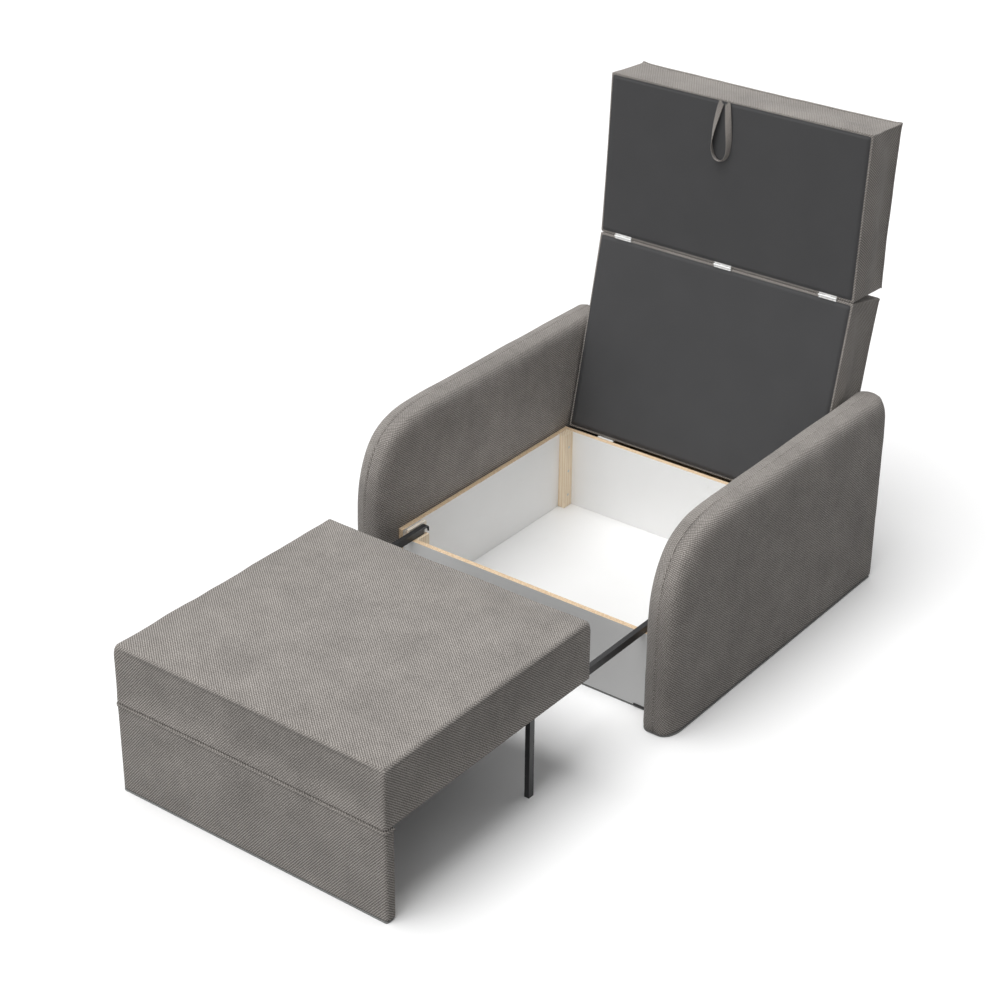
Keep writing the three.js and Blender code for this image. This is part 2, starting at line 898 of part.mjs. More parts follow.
// Back leaves. A leaf's own frame has X across, Y along the leaf and Z out of its black face, and
// its origin lies on its hinge axis.

function leafPieces(name, start, length) {
  const group = new THREE.Group();
  const face = -axisProud;
  const cloth = face - coverLift;
  const half = backHalf;
  const end = start + length;
  const pad = cushion({ ...back, width: 2 * half, length, height: leafHeight - coverLift })
    .rotateX(Math.PI)
    .translate(0, end, cloth);
  const pocket = (clearance, out) =>
    block(
      [-half + back.frame - clearance, half - back.frame + clearance],
      [start + back.frame - clearance, end - back.frame + clearance],
      [cloth - back.boardThickness - clearance, cloth + out],
    );
  const coverPiece = block(
    [-half + cover.inset, half - cover.inset],
    [start + cover.inset, end - cover.inset],
    [cloth + gap, face],
  );
  group.add(
    mesh(`${name}_cushion`, cut(pad, pocket(gap, overrun)), finish.cloth),
    mesh(`${name}_board`, pocket(0, 0), finish.chipboard),
    mesh(`${name}_cover`, coverPiece, finish.blackCloth),
  );
  return group;
}

const foldSpread = backHalf - hinge.foldInset;
const foldPlaces = [-foldSpread, 0, foldSpread];

function foldLeaves(name, towards, isMiddle) {
  return foldPlaces.map((x, index) => {
    const made = mesh(`${name}_${index + 1}`, hingeLeaf(hinge.foldFlap, isMiddle), finish.zinc);
    // A half turn about Z points the flap the other way.
    made.rotation.z = towards > 0 ? 0 : Math.PI;
    made.position.set(x, 0, 0);
    return made;
  });
}

function lowerBack() {
  const group = leafPieces("lower_back", leafStart, lowerLength);
  const fold = new THREE.Group();
  fold.position.set(0, back.foldReach, 0);
  fold.add(...foldLeaves("fold_hinge_lower_leaf", -1, false));
  foldPlaces.forEach((x, index) => {
    const pin = mesh(`fold_hinge_pin_${index + 1}`, hingePin(), finish.zinc);
    pin.position.x = x;
    fold.add(pin);
  });
  for (const [side, sign] of sides) {
    const leaf = mesh(`back_hinge_leaf_${side}`, hingeLeaf(hinge.boxFlap, true), finish.zinc);
    // The flap lies on the end of the leaf and runs away from its black face.
    leaf.rotation.x = -quarterTurn;
    leaf.rotation.order = "ZXY";
    leaf.rotation.z = Math.PI;
    leaf.position.set(sign * (backHalf - hinge.boxInset), 0, 0);
    group.add(leaf);
  }
  const upper = upperBack();
  upper.rotation.x = foldOpen;
  fold.add(upper);
  group.add(fold);
  group.rotation.x = quarterTurn - lean;
  group.position.set(0, hingeAxisY, hingeAxisZ);
  return group;
}

function upperBack() {
  const group = leafPieces("upper_back", back.foldGap / 2, upperLength);
  group.add(...foldLeaves("fold_hinge_upper_leaf", 1, true));
  group.add(mesh("pull_loop", pullLoop(), finish.cloth));
  return group;
}

// Teardrop of folded strip that hangs from the free end along the black face
function pullLoop() {
  const face = -axisProud + gap;
  const top = back.foldGap / 2 + upperLength - cover.inset - loop.endInset;
  const halfStrip = loop.stripWidth / 2;
  const holeLength = loop.length - loop.tabHeight - loop.stripWidth;
  const strap = teardrop(loop.halfWidth + halfStrip, top, loop.length);
  strap.holes.push(teardrop(loop.halfWidth - halfStrip, top - loop.tabHeight, holeLength));
  return alongZ(strap, face, face + loop.stripThickness, steps.tube).translate(loop.offset, 0, 0);
}

const loopNeckShare = 0.32; // width of the loop's top, as a share of its widest part
const loopBellyShare = 0.62; // where the loop is widest, down its length

function teardrop(half, top, length) {
  const shape = new THREE.Shape();
  const neck = half * loopNeckShare;
  const belly = top - length * loopBellyShare;
  const foot = top - length;
  shape.moveTo(-neck, top);
  shape.bezierCurveTo(-neck, (top + belly) / 2, -half, (top + belly) / 2, -half, belly);
  shape.bezierCurveTo(-half, (belly + foot) / 2, -half / 2, foot, 0, foot);
  shape.bezierCurveTo(half / 2, foot, half, (belly + foot) / 2, half, belly);
  shape.bezierCurveTo(half, (top + belly) / 2, neck, (top + belly) / 2, neck, top);
  shape.closePath();
  return shape;
}

// Assembly, set down with the middle of its footprint at the origin

function chairBed() {
  const assembly = new THREE.Group();
  assembly.add(
    arms(),
    boxBoards(),
    boxBlocks(),
    rearPanelPieces(),
    boxHinges(),
    carriage(),
    seatPieces(),
    frontPanelPieces(),
    guideShoes(),
    lowerBack(),
  );
  assembly.updateMatrixWorld(true);
  const bounds = new THREE.Box3().setFromObject(assembly, true);
  const middle = bounds.getCenter(new THREE.Vector3());
  assembly.position.set(-middle.x, -middle.y, -bounds.min.z);
  const root = new THREE.Group();
  root.name = "chair_bed";
  root.add(assembly);
  return root;
}

export default chairBed();
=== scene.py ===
"""Dresses the convertible chair bed: cloth, cushions, boards, hinges, carriage and studio light.

Lengths are metres in the shared frame: +X to the right of someone who faces the seat, +Y to the
rear and +Z up. Every sub-assembly is a class that builds its pieces and dresses its CAD nodes.
"""
import logging
import math
from dataclasses import dataclass, field
from enum import Enum
from typing import Iterable, Sequence, Union

import bpy
import numpy as np
from mathutils import Matrix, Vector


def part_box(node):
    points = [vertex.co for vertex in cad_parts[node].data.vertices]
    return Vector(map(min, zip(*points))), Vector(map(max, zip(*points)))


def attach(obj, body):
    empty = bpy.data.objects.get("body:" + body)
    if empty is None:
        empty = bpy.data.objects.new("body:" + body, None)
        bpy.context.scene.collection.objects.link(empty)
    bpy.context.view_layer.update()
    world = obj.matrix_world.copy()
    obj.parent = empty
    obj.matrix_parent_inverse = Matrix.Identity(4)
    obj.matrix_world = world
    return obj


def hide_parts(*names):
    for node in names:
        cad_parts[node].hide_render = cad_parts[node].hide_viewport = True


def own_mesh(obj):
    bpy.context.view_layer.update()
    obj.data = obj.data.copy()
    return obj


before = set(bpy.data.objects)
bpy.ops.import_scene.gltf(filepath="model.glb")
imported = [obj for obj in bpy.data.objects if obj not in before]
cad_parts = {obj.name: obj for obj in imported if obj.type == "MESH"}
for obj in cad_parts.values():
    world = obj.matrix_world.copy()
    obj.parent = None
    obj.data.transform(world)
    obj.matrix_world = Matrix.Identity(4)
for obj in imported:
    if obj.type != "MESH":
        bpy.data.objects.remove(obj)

Array = np.ndarray
Colour = tuple[float, float, float]
Piece = bpy.types.Object
Material = bpy.types.Material
Socket = bpy.types.NodeSocket
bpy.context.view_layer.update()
CLOTH_UV = "Cloth"
TURN = 2 * math.pi
TINY = 1e-12  # the least length that a vector is divided by
SAME = 1e-6  # places closer than this are one
FAR = 9.0  # a height or length that no board reaches
LINING_THICKNESS = 0.0008
STITCH_LENGTH = 0.0044
STITCH_WIDTH = 0.0011
STUFFING_FRAMES = 20
log = logging.getLogger("chair_bed")


class Body(Enum):
    """The bodies that pieces ride on."""

    BASE = "base"
    CARRIAGE = "carriage"
    ROLLER_LEFT = "roller_left"
    ROLLER_RIGHT = "roller_right"
    SEAT = "seat_module"
    LOWER_BACK = "lower_back"
    UPPER_BACK = "upper_back"


class Slot(Enum):
    """The record's material slots."""

    CLOTH = "cloth"
    BLACK_CLOTH = "black_cloth"
    LAMINATE = "laminate"
    PINE = "pine"
    BLACK_STEEL = "black_steel"
    ZINC = "zinc"
    NYLON = "nylon"
    GREY_PLASTIC = "grey_plastic"


class Side(Enum):
    """The two hands of a mirrored pair, and the sign of X on that side."""

    LEFT = -1
    RIGHT = 1

    @property
    def word(self) -> str:
        """The ending of the node names on this side."""
        return self.name.lower()


# Shader nodes


class Value:
    """A number socket of a shader. Sums and products of it add Math nodes."""

    def __init__(self, graph: "Graph", socket: Socket) -> None:
        """Keeps the socket and the graph that it belongs to."""
        self.graph, self.socket = graph, socket

    def __add__(self, other: "Number") -> "Value":
        """self + other."""
        return self.graph.math("ADD", self, other)

    __radd__ = __add__

    def __sub__(self, other: "Number") -> "Value":
        """self - other."""
        return self.graph.math("SUBTRACT", self, other)

    def __rsub__(self, other: "Number") -> "Value":
        """other - self."""
        return self.graph.math("SUBTRACT", other, self)

    def __mul__(self, other: "Number") -> "Value":
        """self * other."""
        return self.graph.math("MULTIPLY", self, other)

    __rmul__ = __mul__

    def __truediv__(self, other: "Number") -> "Value":
        """self / other."""
        return self.graph.math("DIVIDE", self, other)

    def wave(self) -> "Value":
        """Cosine of self, moved to 0..1."""
        return self.graph.math("COSINE", self) * 0.5 + 0.5

    def floor(self) -> "Value":
        """Whole number below self."""
        return self.graph.math("FLOOR", self)

    def most(self, other: "Number") -> "Value":
        """The larger of self and other."""
        return self.graph.math("MAXIMUM", self, other)

    def over(self, limit: float) -> "Value":
        """1 where self is over the limit, and 0 elsewhere."""
        return self.graph.math("GREATER_THAN", self, limit)

    def ramp(self, low: float, high: float) -> "Value":
        """0 below low, 1 above high and a smooth rise between them."""
        ends = {0: self, 1: low, 2: high}
        node = self.graph.add("MapRange", ends, interpolation_type="SMOOTHSTEP")
        return Value(self.graph, node.outputs[0])


Number = Union[Value, float]
Input = Union[Value, Socket, float, tuple]


class Graph:
    """The nodes of a shader tree."""

    def __init__(self, tree: bpy.types.NodeTree) -> None:
        """Keeps the tree."""
        self.tree = tree

    def add(
        self, kind: str, inputs: dict[int | str, Input] | None = None, **settings: str
    ) -> bpy.types.Node:
        """Adds a node.

        Args:
            kind: the node's type, less the word ShaderNode.
            inputs: a value or link for each of its sockets.
            settings: its properties, which are set first.

        Returns:
            The node.
        """
        node = self.tree.nodes.new(f"ShaderNode{kind}")
        for key, value in settings.items():
            setattr(node, key, value)
        for key, value in (inputs or {}).items():
            self.feed(node.inputs[key], value)
        return node

    def feed(self, socket: Socket, value: Input) -> None:
        """Links a value to a socket, or sets it there if it is a constant."""
        if isinstance(value, Value):
            value = value.socket
        if isinstance(value, Socket):
            self.tree.links.new(value, socket)
        else:
            socket.default_value = value

    def math(self, operation: str, *terms: Number) -> Value:
        """A Math node on the terms."""
        node = self.add("Math", dict(enumerate(terms)), operation=operation)
        return Value(self, node.outputs[0])

    def seen(self) -> Value:
        """1 for what the camera, a reflection or a clear body shows, and 0 for other rays."""
        rays = self.add("LightPath").outputs
        kinds = ("Camera", "Glossy", "Transmission")
        camera, glossy, clear = (Value(self, rays[f"Is {kind} Ray"]) for kind in kinds)
        return camera.most(glossy).most(clear)


class Surface(Graph):
    """The nodes of one material, with its Principled BSDF as surface."""

    def __init__(self, name: str) -> None:
        """Makes an empty material of that name with its surface shader."""
        self.material = bpy.data.materials.new(name)
        self.material.use_nodes = True
        super().__init__(self.material.node_tree)
        self.tree.nodes.clear()
        self.shader = self.add("BsdfPrincipled")
        self.add("OutputMaterial", {"Surface": self.shader.outputs[0]})

    def mix(self, share: Number, first: Input, second: Input) -> Socket:
        """A mix of two colours, with the share that the second has."""
        a, b = ((*c, 1.0) if isinstance(c, tuple) else c for c in (first, second))
        return self.add("Mix", {0: share, 6: a, 7: b}, data_type="RGBA").outputs[2]

    def shaded(self, colour: Input, strength: Value) -> Socket:
        """The colour times a number that varies over the surface."""
        return self.add("VectorMath", {0: colour, 3: strength}, operation="SCALE").outputs[0]

    def place(self, stretch: tuple = (1.0, 1.0, 1.0)) -> Socket:
        """Object coordinates, stretched."""
        source = self.add("TexCoord").outputs["Object"]
        return self.add("Mapping", {"Vector": source, "Scale": stretch}).outputs[0]

    def cloth_place(self, turn: float = 0.0) -> Socket:
        """The cloth's own flat coordinates in metres, turned."""
        source = self.add("UVMap", uv_map=CLOTH_UV).outputs[0]
        return self.add("Mapping", {"Vector": source, "Rotation": (0, 0, turn)}).outputs[0]

    def split(self, vector: Socket) -> tuple[Value, Value, Value]:
        """The three numbers of a vector."""
        return tuple(Value(self, out) for out in self.add("SeparateXYZ", {0: vector}).outputs)

    def noise(self, place: Socket, scale: float, detail: float = 2.0, rough: float = 0.5) -> Value:
        """Soft noise from 0 to 1 with this many cells to the metre."""
        inputs = {"Vector": place, "Scale": scale, "Detail": detail, "Roughness": rough}
        return Value(self, self.add("TexNoise", inputs).outputs[0])

    def cells(self, place: Socket, scale: float) -> Value:
        """Distance in a Voronoi pattern with this many cells to the metre."""
        node = self.add("TexVoronoi", {"Vector": place, "Scale": scale})
        return Value(self, node.outputs["Distance"])

    def finish(
        self,
        colour: Input,
        roughness: Number,
        height: Value | None = None,
        depth: float = 0.0,
        strength: float = 0.0,
        constants: dict[str, float] | None = None,
    ) -> Material:
        """Feeds the surface shader.

        Args:
            colour: base colour.
            roughness: a number or what varies it.
            height: relief from 0 to 1, if there is any.
            depth: the relief's depth in metres.
            strength: the relief's strength.
            constants: values for other sockets, the same all over.

        Returns:
            The material.
        """
        sockets = self.shader.inputs
        self.feed(sockets["Base Color"], colour)
        self.feed(sockets["Roughness"], roughness)
        for key, value in (constants or {}).items():
            sockets[key].default_value = value
        if height is not None:
            relief = {"Height": height, "Distance": depth, "Strength": strength}
            self.feed(sockets["Normal"], self.add("Bump", relief).outputs[0])
        return self.material


# Finishes


@dataclass(frozen=True)
class TwillCloth:
    """Taupe-grey upholstery with diagonal ribs of knotty yarn and a brushed, patchy nap. The hollows
    between the ribs carry painted shade.
    """

    name: str = "taupe_twill"
    # Colour of the hollows between the ribs, darkened as painted shade
    hollow: Colour = (0.104, 0.093, 0.083)
    yarn: Colour = (0.486, 0.453, 0.424)
    pitch: float = 0.0057
    knot: float = 0.0070
    angle: float = math.radians(50)
    relief: float = 0.0012

    def make(self) -> Material:
        """Ribs are a cosine across the twill line, cut into knots along it that step from rib to rib.
        Low parts of the relief take the dark hollow colour as painted shade.

        Returns:
            The material.
        """
        g = Surface(self.name)
        flat, turned = g.cloth_place(), g.cloth_place(-self.angle)
        along, across, _ = g.split(turned)
        wander = g.noise(flat, 95, 2) - 0.5
        across = across + wander * (self.pitch * 0.40)
        rib = (across * (TURN / self.pitch)).wave()
        row = (across / self.pitch).floor()
        knots = ((along + row * (self.knot * 0.12)) * (TURN / self.knot) + wander * 3.5).wave()
        fibre = g.noise(turned, 700, 2, 0.7)
        body = g.place()
        patch = g.noise(body, 7.5, 3, 0.55)
        drift = g.noise(body, 26, 2, 0.6)
        fleck = g.noise(flat, 240, 1)
        height = rib * (knots * 0.5 + 0.5)
        # The mix leans to the dark hollow colour where the relief is low, which is painted shade in
        # the rib hollows. The fibre and fleck noise are the yarn's own tone.
        share = (height * 0.78 + (fibre - 0.5) * 0.6 + (fleck - 0.5) * 0.7 + 0.14).ramp(-0.1, 1.02)
        nap = (patch - 0.5) * 0.5 + (drift - 0.5) * 0.3 + 1.0
        colour = g.shaded(g.mix(share, self.hollow, self.yarn), nap)
        rough = 0.98 - share * 0.12
        relief = height * 0.8 + fibre * 0.35 + patch * 0.6
        soft = {"Sheen Weight": 0.15, "Sheen Roughness": 0.6, "Specular IOR Level": 0.15}
        return g.finish(colour, rough, relief, self.relief, 1.0, soft)


@dataclass(frozen=True)
class NonWovenCloth:
    """Black felted lining with point-bonded dimples, tight over a frame."""

    name: str = "black_nonwoven"
    thick: Colour = (0.044, 0.044, 0.0455)
    thin: Colour = (0.076, 0.076, 0.0785)
    dimple: float = 0.0026

    def make(self) -> Material:
        """Dimples are a product of two diagonal waves, over cloudy felt and stray fibres.

        Returns:
            The material.
        """
        g = Surface(self.name)
        x, y, _ = g.split(g.cloth_place(math.radians(45)))
        flat = g.cloth_place()
        dots = (x * (TURN / self.dimple)).wave() * (y * (TURN / self.dimple)).wave()
        felt = g.noise(flat, 420, 3, 0.7)
        cloud = g.noise(flat, 9, 3)
        share = cloud * 0.2 + (felt - 0.5) * 0.8 + 0.42 - dots.ramp(0.5, 1) * 0.2
        colour = g.mix(share.ramp(0, 1), self.thick, self.thin)
        height = felt * 0.7 - dots * 0.5
        return g.finish(colour, 0.72 + felt * 0.2, height, 0.00018, 0.35, {"Specular IOR Level": 0.35})


@dataclass(frozen=True)
class Laminate:
    """White melamine board that shows tan chipboard on its top edge and on its front end."""

    name: str
    edge_over: float = FAR
    edge_before: float = -FAR
    white: Colour = (0.925, 0.925, 0.92)

    def make(self) -> Material:
        """The edge is where Z is over a height or Y is under a length, and chips are Voronoi cells.

        Returns:
            The material.
        """
        g = Surface(self.name)
        body = g.place()
        _, back, up = g.split(body)
        edge = up.over(self.edge_over).most((back * -1).over(-self.edge_before))
        chip = g.cells(body, 330)
        long_chip = g.noise(g.place((0.35, 0.35, 1.0)), 420, 3, 0.7)
        flakes = (chip * 1.1 + (long_chip - 0.5) * 0.9).ramp(0, 1)
        tan = g.mix(flakes, (0.60, 0.41, 0.24), (0.86, 0.68, 0.47))
        haze = g.noise(body, 5, 3)
        grain = g.noise(body, 700, 2)
        scuff = g.noise(g.place((1.0, 0.15, 1.0)), 55, 4, 0.75).ramp(0.62, 0.8)
        white = g.mix(haze * 0.4 + scuff * 0.35, self.white, (0.80, 0.80, 0.79))
        colour = g.mix(edge, white, tan)
        rough = 0.34 + haze * 0.12 + scuff * 0.15 + edge * 0.4
        height = grain * 0.5 + edge * chip * 3.0
        return g.finish(colour, rough, height, 0.00008, 0.3)


@dataclass(frozen=True)
class Chipboard:
    """Raw chipboard of pale and dark flakes."""

    name: str = "chipboard"

    def make(self) -> Material:
        """Flakes are Voronoi cells at two sizes.

        Returns:
            The material.
        """
        g = Surface(self.name)
        body = g.place()
        coarse, fine, dust = g.cells(body, 170), g.cells(body, 520), g.noise(body, 900, 2)
        share = (coarse * 0.8 + fine * 0.4 + (dust - 0.5) * 0.5).ramp(0.05, 1.0)
        colour = g.mix(share, (0.42, 0.28, 0.16), (0.80, 0.64, 0.45))
        return g.finish(colour, 0.86 - fine * 0.1, coarse + dust * 0.6, 0.0003, 0.5)


@dataclass(frozen=True)
class Pine:
    """Planed pine with long grain, rings, a few pores and a warmer latewood."""

    name: str
    upright: bool = True
    early: Colour = (0.90, 0.77, 0.59)
    late: Colour = (0.74, 0.54, 0.34)
    ring_pitch: float = 0.0085

    def make(self) -> Material:
        """Rings are a wave of distance across the grain, bent by noise stretched along it.

        Returns:
            The material.
        """
        g = Surface(self.name)
        slow = (1.0, 1.0, 0.06) if self.upright else (1.0, 0.06, 1.0)
        drawn = g.place(slow)
        x, y, z = g.split(g.place())
        bend = g.noise(drawn, 14, 3) * 0.045
        side = y * 0.7 if self.upright else z * 0.8
        ring = ((x + side + bend) * (TURN / self.ring_pitch)).wave()
        streak = g.noise(drawn, 420, 3, 0.7)
        pore = g.noise(drawn, 900, 1).ramp(0.66, 0.8)
        colour = g.mix((ring * 0.5 + (streak - 0.5) * 0.6 + 0.08).ramp(0, 1), self.early, self.late)
        colour = g.mix(pore * 0.3, colour, (0.42, 0.26, 0.14))
        return g.finish(colour, 0.55 + streak * 0.2, ring * 0.4 + streak, 0.00015, 0.4)


@dataclass(frozen=True)
class PowderSteel:
    """Satin black powder coat with orange peel, dust and slide marks along its length."""

    name: str = "black_powder_steel"

    def make(self) -> Material:
        """Marks are noise stretched along Y, where the module slides.

        Returns:
            The material.
        """
        g = Surface(self.name)
        body = g.place()
        peel = g.noise(body, 900, 2)
        dust = g.noise(body, 40, 4, 0.6)
        mark = g.noise(g.place((1.0, 0.02, 1.0)), 900, 3, 0.7).ramp(0.60, 0.78)
        colour = g.mix(dust * 0.5 + mark * 0.5, (0.014, 0.014, 0.015), (0.055, 0.055, 0.058))
        rough = 0.36 + dust * 0.14 + mark * 0.12
        return g.finish(colour, rough, peel, 0.00006, 0.35)


@dataclass(frozen=True)
class ZincPlate:
    """White zinc plate: fine rolling lines and pale bloom."""

    name: str = "white_zinc"
    shade: Colour = (0.80, 0.80, 0.79)

    def make(self) -> Material:
        """Rolling lines are noise stretched along X, and bloom is cloudy and rougher.

        Returns:
            The material.
        """
        g = Surface(self.name)
        body = g.place()
        lines = g.noise(g.place((0.03, 1.0, 1.0)), 2400, 2, 0.6)
        bloom = g.noise(body, 110, 4, 0.65)
        colour = g.mix((bloom * 0.8 + lines * 0.3).ramp(0.2, 0.95), self.shade, (0.60, 0.60, 0.60))
        rough = 0.30 + bloom * 0.22 + lines * 0.08
        return g.finish(colour, rough, lines, 0.00004, 0.4, {"Metallic": 0.55})


@dataclass(frozen=True)
class Moulding:
    """Moulded plastic with a fine spark texture and faint flow marks."""

    name: str
    shade: Colour
    scuffed: Colour
    roughness: float = 0.5

    def make(self) -> Material:
        """Spark texture is fine cellular noise, and scuffs are sparse long noise.

        Returns:
            The material.
        """
        g = Surface(self.name)
        body = g.place()
        spark = g.cells(body, 1400)
        flow = g.noise(body, 22, 3)
        scuff = g.noise(g.place((1.0, 0.2, 1.0)), 160, 4, 0.7).ramp(0.6, 0.8)
        colour = g.mix(flow * 0.35 + scuff * 0.5, self.shade, self.scuffed)
        return g.finish(colour, self.roughness + flow * 0.1 + scuff * 0.15, spark, 0.00007, 0.4)


@dataclass
class Finishes:
    """The materials of the object, made once each."""

    cloth: Material = field(default_factory=lambda: TwillCloth().make())
    thread: Material = field(
        default_factory=lambda: TwillCloth(
            # Its darker first colour is painted shade in the thread's rib hollows.
            "seam_thread", (0.10, 0.087, 0.076), (0.30, 0.27, 0.245), 0.0012, 0.0014
        ).make()
    )
    lining: Material = field(default_factory=lambda: NonWovenCloth().make())
    chipboard: Material = field(default_factory=lambda: Chipboard().make())
    pine: Material = field(default_factory=lambda: Pine("pine_upright").make())
    pine_long: Material = field(
        default_factory=lambda: Pine(
            "pine_lengthwise", False, (0.93, 0.87, 0.77), (0.83, 0.70, 0.54)
        ).make()
    )
    steel: Material = field(default_factory=lambda: PowderSteel().make())
    zinc: Material = field(default_factory=lambda: ZincPlate().make())
    screw: Material = field(
        default_factory=lambda: ZincPlate("zinc_screw", (0.66, 0.65, 0.60)).make()
    )
    nylon: Material = field(
        default_factory=lambda: Moulding("nylon", (0.90, 0.90, 0.88), (0.74, 0.73, 0.70), 0.38).make()
    )
    black: Material = field(
        default_factory=lambda: Moulding(
            "black_moulding", (0.018, 0.018, 0.019), (0.06, 0.06, 0.06)
        ).make()
    )
    grey: Material = field(
        default_factory=lambda: Moulding(
            "grey_strip", (0.20, 0.205, 0.20), (0.30, 0.30, 0.295), 0.6
        ).make()
    )


# Forms


def unit(vectors: Array) -> Array:
    """Vectors along the last axis, each at length one."""
    return vectors / np.maximum(np.linalg.norm(vectors, axis=-1, keepdims=True), TINY)


def reach_of(line: Array) -> Array:
    """How far along a line each of its points lies."""
    return np.concatenate([[0], np.cumsum(np.linalg.norm(np.diff(line, axis=0), axis=1))])


def sampled(rows: Array, reach: Array, at: Array) -> Array:
    """The rows that belong to a line's points, read at other lengths along it."""
    return np.stack([np.interp(at, reach, column) for column in rows.T], -1)


@dataclass
class Form:
    """Points and faces of a closed or open surface.

    Args:
        points: an (n, 3) array in metres.
        quads: an (m, 4) array of point numbers.
        seed: where each point was on the plain form before it was shaped, if that is of use.
    """

    points: Array
    quads: Array
    seed: Array | None = None

    def placed(self, origin: Sequence[float], axes: Array) -> "Form":
        """The form in a frame with this origin and these three axes as rows."""
        return Form(np.asarray(origin) + self.points @ axes, self.quads, self.seed)

    def normals(self) -> Array:
        """Unit normals at the points, summed from the cross product of each face's diagonals."""
        p = self.points[self.quads]
        face = np.cross(p[:, 2] - p[:, 0], p[:, 3] - p[:, 1])
        total = np.zeros_like(self.points)
        for corner in range(4):
            np.add.at(total, self.quads[:, corner], face)
        return unit(total)


def gathered(forms: Iterable[Form]) -> Form:
    """Several forms as one."""
    points, quads, count = [], [], 0
    for form in forms:
        points.append(form.points)
        quads.append(form.quads + count)
        count += len(form.points)
    return Form(np.vstack(points), np.vstack(quads))


def welded(points: Array, quads: Array) -> Form:
    """The form with points that coincide to a hundredth of a millimetre made one."""
    cells = np.round(points.reshape(-1, 3) * 1e5).astype(np.int64)
    _, first, index = np.unique(cells, axis=0, return_index=True, return_inverse=True)
    return Form(points.reshape(-1, 3)[first], index.reshape(-1)[quads])


def grid_quads(rows: int, columns: int, closed: bool = False) -> Array:
    """Faces of a grid of points, row by row, whose columns may close into a ring."""
    n = np.arange(rows * columns).reshape(rows, columns)
    if closed:
        n = np.hstack([n, n[:, :1]])
    return np.stack([n[:-1, :-1], n[:-1, 1:], n[1:, 1:], n[1:, :-1]], -1).reshape(-1, 4)


def edge_lines(low: float, high: float, first: float, last: float, step: float, arc: int) -> Array:
    """Grid lines from low to high for an edge that is rounded at both ends.

    Within a radius of an end the lines stand at radius times (1 - tan a) for even angles a up to
    45 degrees, so that the points of the rounded edge come out evenly. Between them they are even.

    Args:
        low: the first line.
        high: the last line.
        first: radius at the low end.
        last: radius at the high end.
        step: the widest space between lines.
        arc: spaces in each half arc.

    Returns:
        The lines, rising.
    """
    tangent = np.tan(np.linspace(0, math.pi / 4, arc + 1))
    count = max(1, math.ceil((high - low - first - last) / step))
    middle = np.linspace(low + first, high - last, count + 1)[1:-1]
    return np.concatenate([low + first * (1 - tangent[::-1]), middle, high - last * (1 - tangent)])


def box_grid(lines: Sequence[Array]) -> Form:
    """The closed surface of a box as six grids on the given lines of X, Y and Z."""
    points, quads, count = [], [], 0
    for axis in range(3):
        a, b = (axis + 1) % 3, (axis + 2) % 3
        first, second = np.meshgrid(lines[a], lines[b], indexing="ij")
        faces = grid_quads(*first.shape)[:, ::-1]
        for end in (0, -1):
            side = np.empty((first.size, 3))
            side[:, axis] = lines[axis][end]
            side[:, a], side[:, b] = first.ravel(), second.ravel()
            points.append(side)
            quads.append((faces if end else faces[:, ::-1]) + count)
            count += first.size
    form = welded(np.vstack(points), np.vstack(quads))
    form.seed = form.points.copy()
    return form


def rounded_block(
    low: Sequence[float],
    high: Sequence[float],
    radius: float | Sequence[float],
    step: float = 1.0,
    arc: int = 2,
    last_radius: Sequence[float] | None = None,
) -> Form:
    """A box with rounded edges.

    A point p goes to c + r * u, where c is p held inside the box less its radii, and u is the
    direction from c to p with each part measured in its own radius.

    Args:
        low: lowest corner.
        high: highest corner.
        radius: radius along each axis at the low ends, or one for all.
        step: the widest space between grid lines.
        arc: spaces in each half arc.
        last_radius: radii at the high ends, where they differ.

    Returns:
        The closed form, with its seed kept.
    """
    low, high = np.asarray(low, float), np.asarray(high, float)
    first = np.broadcast_to(np.asarray(radius, float), 3)
    last = first if last_radius is None else np.asarray(last_radius, float)
    lines = [edge_lines(low[k], high[k], first[k], last[k], step, arc) for k in range(3)]
    form = box_grid(lines)
    p = form.points
    r = np.where(p > (low + high) / 2, last, first)
    core = np.clip(p, low + first, high - last)
    way = (p - core) / r
    length = np.maximum(np.linalg.norm(way, axis=1, keepdims=True), TINY)
    form.points = core + r * way / length
    return form


def swept(path: Array, section: Array, up: Array, closed: bool = False) -> Form:
    """A profile carried along a path.

    Point (i, j) is path[i] + section[j, 0] * across[i] + section[j, 1] * up[i], where across is
    the cross product of up and the path's direction.

    Args:
        path: an (n, 3) array.
        section: an (m, 2) array, anticlockwise, of a closed profile.
        up: an (n, 3) array of directions, made square to the path.
        closed: whether the path is a ring. An open one gets closed ends.

    Returns:
        The form.
    """
    ahead = np.roll(path, -1, 0) - np.roll(path, 1, 0) if closed else np.gradient(path, axis=0)
    ahead = unit(ahead)
    up = unit(up - ahead * np.sum(up * ahead, axis=1, keepdims=True))
    across = np.cross(up, ahead)
    wide, tall = section[None, :, :1], section[None, :, 1:]
    rings = path[:, None] + wide * across[:, None] + tall * up[:, None]
    if closed:
        rings = np.concatenate([rings, rings[:1]])
    else:
        ends = np.repeat(rings.mean(axis=1, keepdims=True)[[0, -1]], len(section), 1)
        rings = np.concatenate([ends[:1], rings, ends[1:]])
    return welded(rings, grid_quads(len(rings), len(section), True))


def circle(count: int) -> Array:
    """Points (x, y) on the unit circle, anticlockwise."""
    angle = np.linspace(0, TURN, count, endpoint=False)
    return np.stack([np.cos(angle), np.sin(angle)], -1)


def ring_section(radius: float, count: int = 8, flat: float = 1.0) -> Array:
    """A round or flattened profile, anticlockwise."""
    return circle(count) * radius * np.array([1.0, flat])


def turned(profile: Array, count: int = 28) -> Form:
    """A profile of (radius, height) turned about Z, from the axis below to the axis above."""
    ring = circle(count)
    heights = np.broadcast_to(profile[:, None, 1:], (len(profile), count, 1))
    points = np.concatenate([profile[:, None, :1] * ring[None], heights], -1)
    return welded(points, grid_quads(len(profile), count, True))


